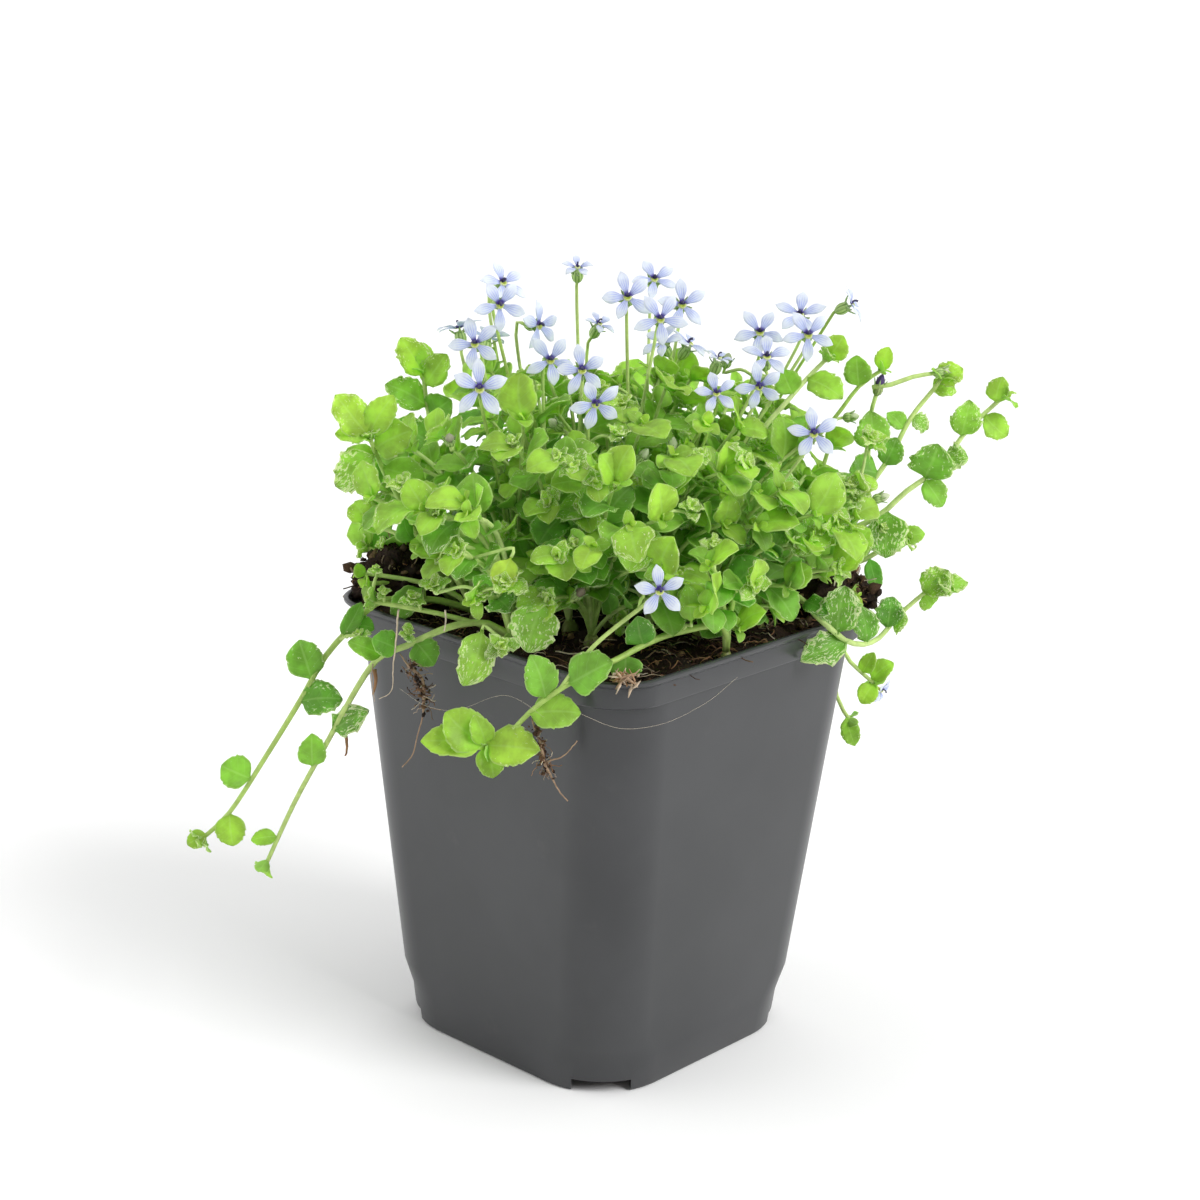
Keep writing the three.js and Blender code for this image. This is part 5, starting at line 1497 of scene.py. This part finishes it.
make_soil()
crumbs, fibres = Pile(), Pile()
for _ in range(CRUMBS):
    size = 0.25 + 0.9 * dice.random() ** 3
    place = surface_point()
    tan = 0.2 * dice.random() ** 3
    place = place + UP * size * dice.uniform(-0.2, 0.5)
    add_crumb(crumbs, place, size, (tan, 0.6 * dice.random() ** 9, 0, 0))
for _ in range(FIBRES):
    place = surface_point(39.0)
    add_fibre(fibres, place + UP * 0.3, dice.uniform(2.5, 8), dice.uniform(0.06, 0.18),
              (dice.random() ** 1.5, dice.random() ** 5, 0, 0), dice.uniform(0.2, 1.0))
for middle, radii in CLUMPS:
    middle, radii = np.array(middle, float), np.array(radii, float)
    add_clump(crumbs, middle, radii)
    for piece in range(int(CRUMBS_PER_RADIUS * radii.max())):
        way = unit(dice.normal(0, 1, 3) + UP * 0.8)
        place = clump_point(middle, radii, way)
        add_crumb(crumbs, place, 0.3 + 1.1 * dice.random() ** 2,
                  (0.25 * dice.random() ** 2, 0.3 * dice.random() ** 8, 0, 0))
        if piece % 2:
            end = place + way * dice.uniform(0.6, 2.4) + dice.normal(0, 1.2, 3)
            halfway = mix(place, end, 0.5) + dice.normal(0, 0.3, 3)
            path = smooth_path([place - way * 0.5, halfway, end], 0.7)
            fibres.tube(path, np.full(len(path), dice.uniform(0.07, 0.2)), 4,
                        (dice.random() ** 1.5, dice.random() ** 4, 0, 0))
for _ in range(SCRAP_SHREDS):
    place = SCRAP + dice.normal(0, 1, 3) * np.array([1.3, 0.4, 0.9])
    sweep = dice.normal(0, 1, 3) * np.array([1.2, 0.4, 1.1])
    path = np.array([place - sweep, place, place + sweep * dice.uniform(0.3, 1) + dice.normal(0, 0.3, 3)])
    fibres.tube(path, np.array([0.08, dice.uniform(0.2, 0.42), 0.06]), 4, (1, 0.7 * dice.random(), 0, 0))
crumbs.build("peat_crumbs", [PEAT], "soil")
fibres.build("peat_fibres", [ROOT], "soil")


# Pale threads and bare roots that hang at the front of the pot: path, first and last radius, paleness

THREADS = [
    ([(-43, -36.5, 90), (-37, -42.5, 88.6), (-30, -48.5, 90), (-20, -57, 96.4), (-12, -61, 93.5)],
     0.022, 0.02, 1),
    ([(-5, -63.6, 95.4), (3, -62.4, 92), (12, -56, 91), (21, -48.6, 93.4), (27, -43.4, 97)], 0.022, 0.022, 1),
    ([(-26, -51.6, 99), (-24.8, -52.8, 101.5), (-23.6, -53.8, 103)], 0.03, 0.02, 1),
    ([(-43.4, -35.6, 107), (-43.6, -36.4, 103), (-44.2, -36.6, 96), (-44.6, -36.6, 89.5), (-47.4, -34.6, 87)],
     0.24, 0.07, 0.75),
    ([(-33.4, -41.6, 109), (-33.2, -42.6, 107), (-33.4, -43.2, 104.8)], 0.2, 0.15, 1),
    ([(-49, -31.4, 92.4), (-48.6, -32, 89.8), (-49.2, -32, 87.2)], 0.5, 0.2, 0),
    ([(-49, -31.4, 93.6), (-49.3, -31.6, 90.4), (-48.6, -32, 85.6)], 0.14, 0.05, 0.5),
    ([(-55.3, -25, 79), (-55.4, -25, 76.6), (-55.4, -25, 74)], 0.03, 0.03, 1),
    ([(-55.4, -25, 74.7), (-55.2, -25, 72.4), (-55.5, -25, 70.2)], 0.42, 0.2, 0),
]
threads = Pile()
for path, thick, thin, light in THREADS:
    fine = smooth_path(path, 0.8)
    fine = fine + np.cumsum(dice.normal(0, 0.01 + 0.2 * thick, fine.shape), axis=0)
    threads.tube(fine, np.linspace(thick, thin, len(fine)), 5, (0.9, light, 0, 0))
threads.build("hanging_threads", [ROOT], "root_brown")


# Stage

FLOOR_SIDE = 60
LIGHT_TARGET = (0, 0, 90)
# Name, kind, place, power, and angle or size
LIGHTS = [
    ("key", "SUN", (480, -300, 530), 2.0, math.radians(32)),
    ("fill", "AREA", (-560, -60, 200), 0.9, 0.5),
]
# How far a direction turns to the front, from and to, and the world's strength at each
WORLD_FALL = (0.1, 0.8, 0.95, 0.2)


def place_light(name, kind, place, power, size):
    light = bpy.data.lights.new(name, kind)
    light.energy = power
    if kind == "SUN":
        light.angle = size
    else:
        light.size = size
    lamp = bpy.data.objects.new(name, light)
    bpy.context.scene.collection.objects.link(lamp)
    lamp.location = to_row(np.array([place], float))[0]
    target = Vector(to_row(np.array([LIGHT_TARGET]))[0])
    lamp.rotation_euler = (target - lamp.location).to_track_quat("-Z", "Y").to_euler()


def make_world():
    """A white studio whose light comes from above and both sides more than from the front."""
    world = bpy.data.worlds.new("studio")
    world.use_nodes = True
    tree = world.node_tree
    background = tree.nodes["Background"]
    place = tree.nodes.new("ShaderNodeTexCoord")
    toward = tree.nodes.new("ShaderNodeVectorMath")
    toward.operation = "DOT_PRODUCT"
    toward.inputs[1].default_value = to_row(np.array([0, -1, 0])) / MM
    shade = tree.nodes.new("ShaderNodeMapRange")
    shade.interpolation_type = "SMOOTHSTEP"
    for socket, value in zip(shade.inputs[1:5], WORLD_FALL):
        socket.default_value = value
    path = tree.nodes.new("ShaderNodeLightPath")
    white = tree.nodes.new("ShaderNodeMath")
    white.operation = "MAXIMUM"
    tree.links.new(place.outputs["Generated"], toward.inputs[0])
    tree.links.new(toward.outputs["Value"], shade.inputs[0])
    tree.links.new(shade.outputs[0], white.inputs[0])
    tree.links.new(path.outputs["Is Camera Ray"], white.inputs[1])
    tree.links.new(white.outputs[0], background.inputs["Strength"])
    background.inputs["Color"].default_value = (1, 1, 1, 1)
    bpy.context.scene.world = world


def make_stage():
    bpy.ops.mesh.primitive_plane_add(size=FLOOR_SIDE)
    floor = bpy.context.object
    floor.name = "floor"
    shader = Shader("floor")
    white = shader.node("BsdfPrincipled", {"Base Color": (1, 1, 1, 1), "Roughness": 0.8,
                                           "Specular IOR Level": 0.0})
    shader.node_output(white)
    floor.data.materials.append(shader.material)
    make_world()
    bpy.context.scene.view_settings.view_transform = "Standard"
    for light in LIGHTS:
        place_light(*light)


make_stage()
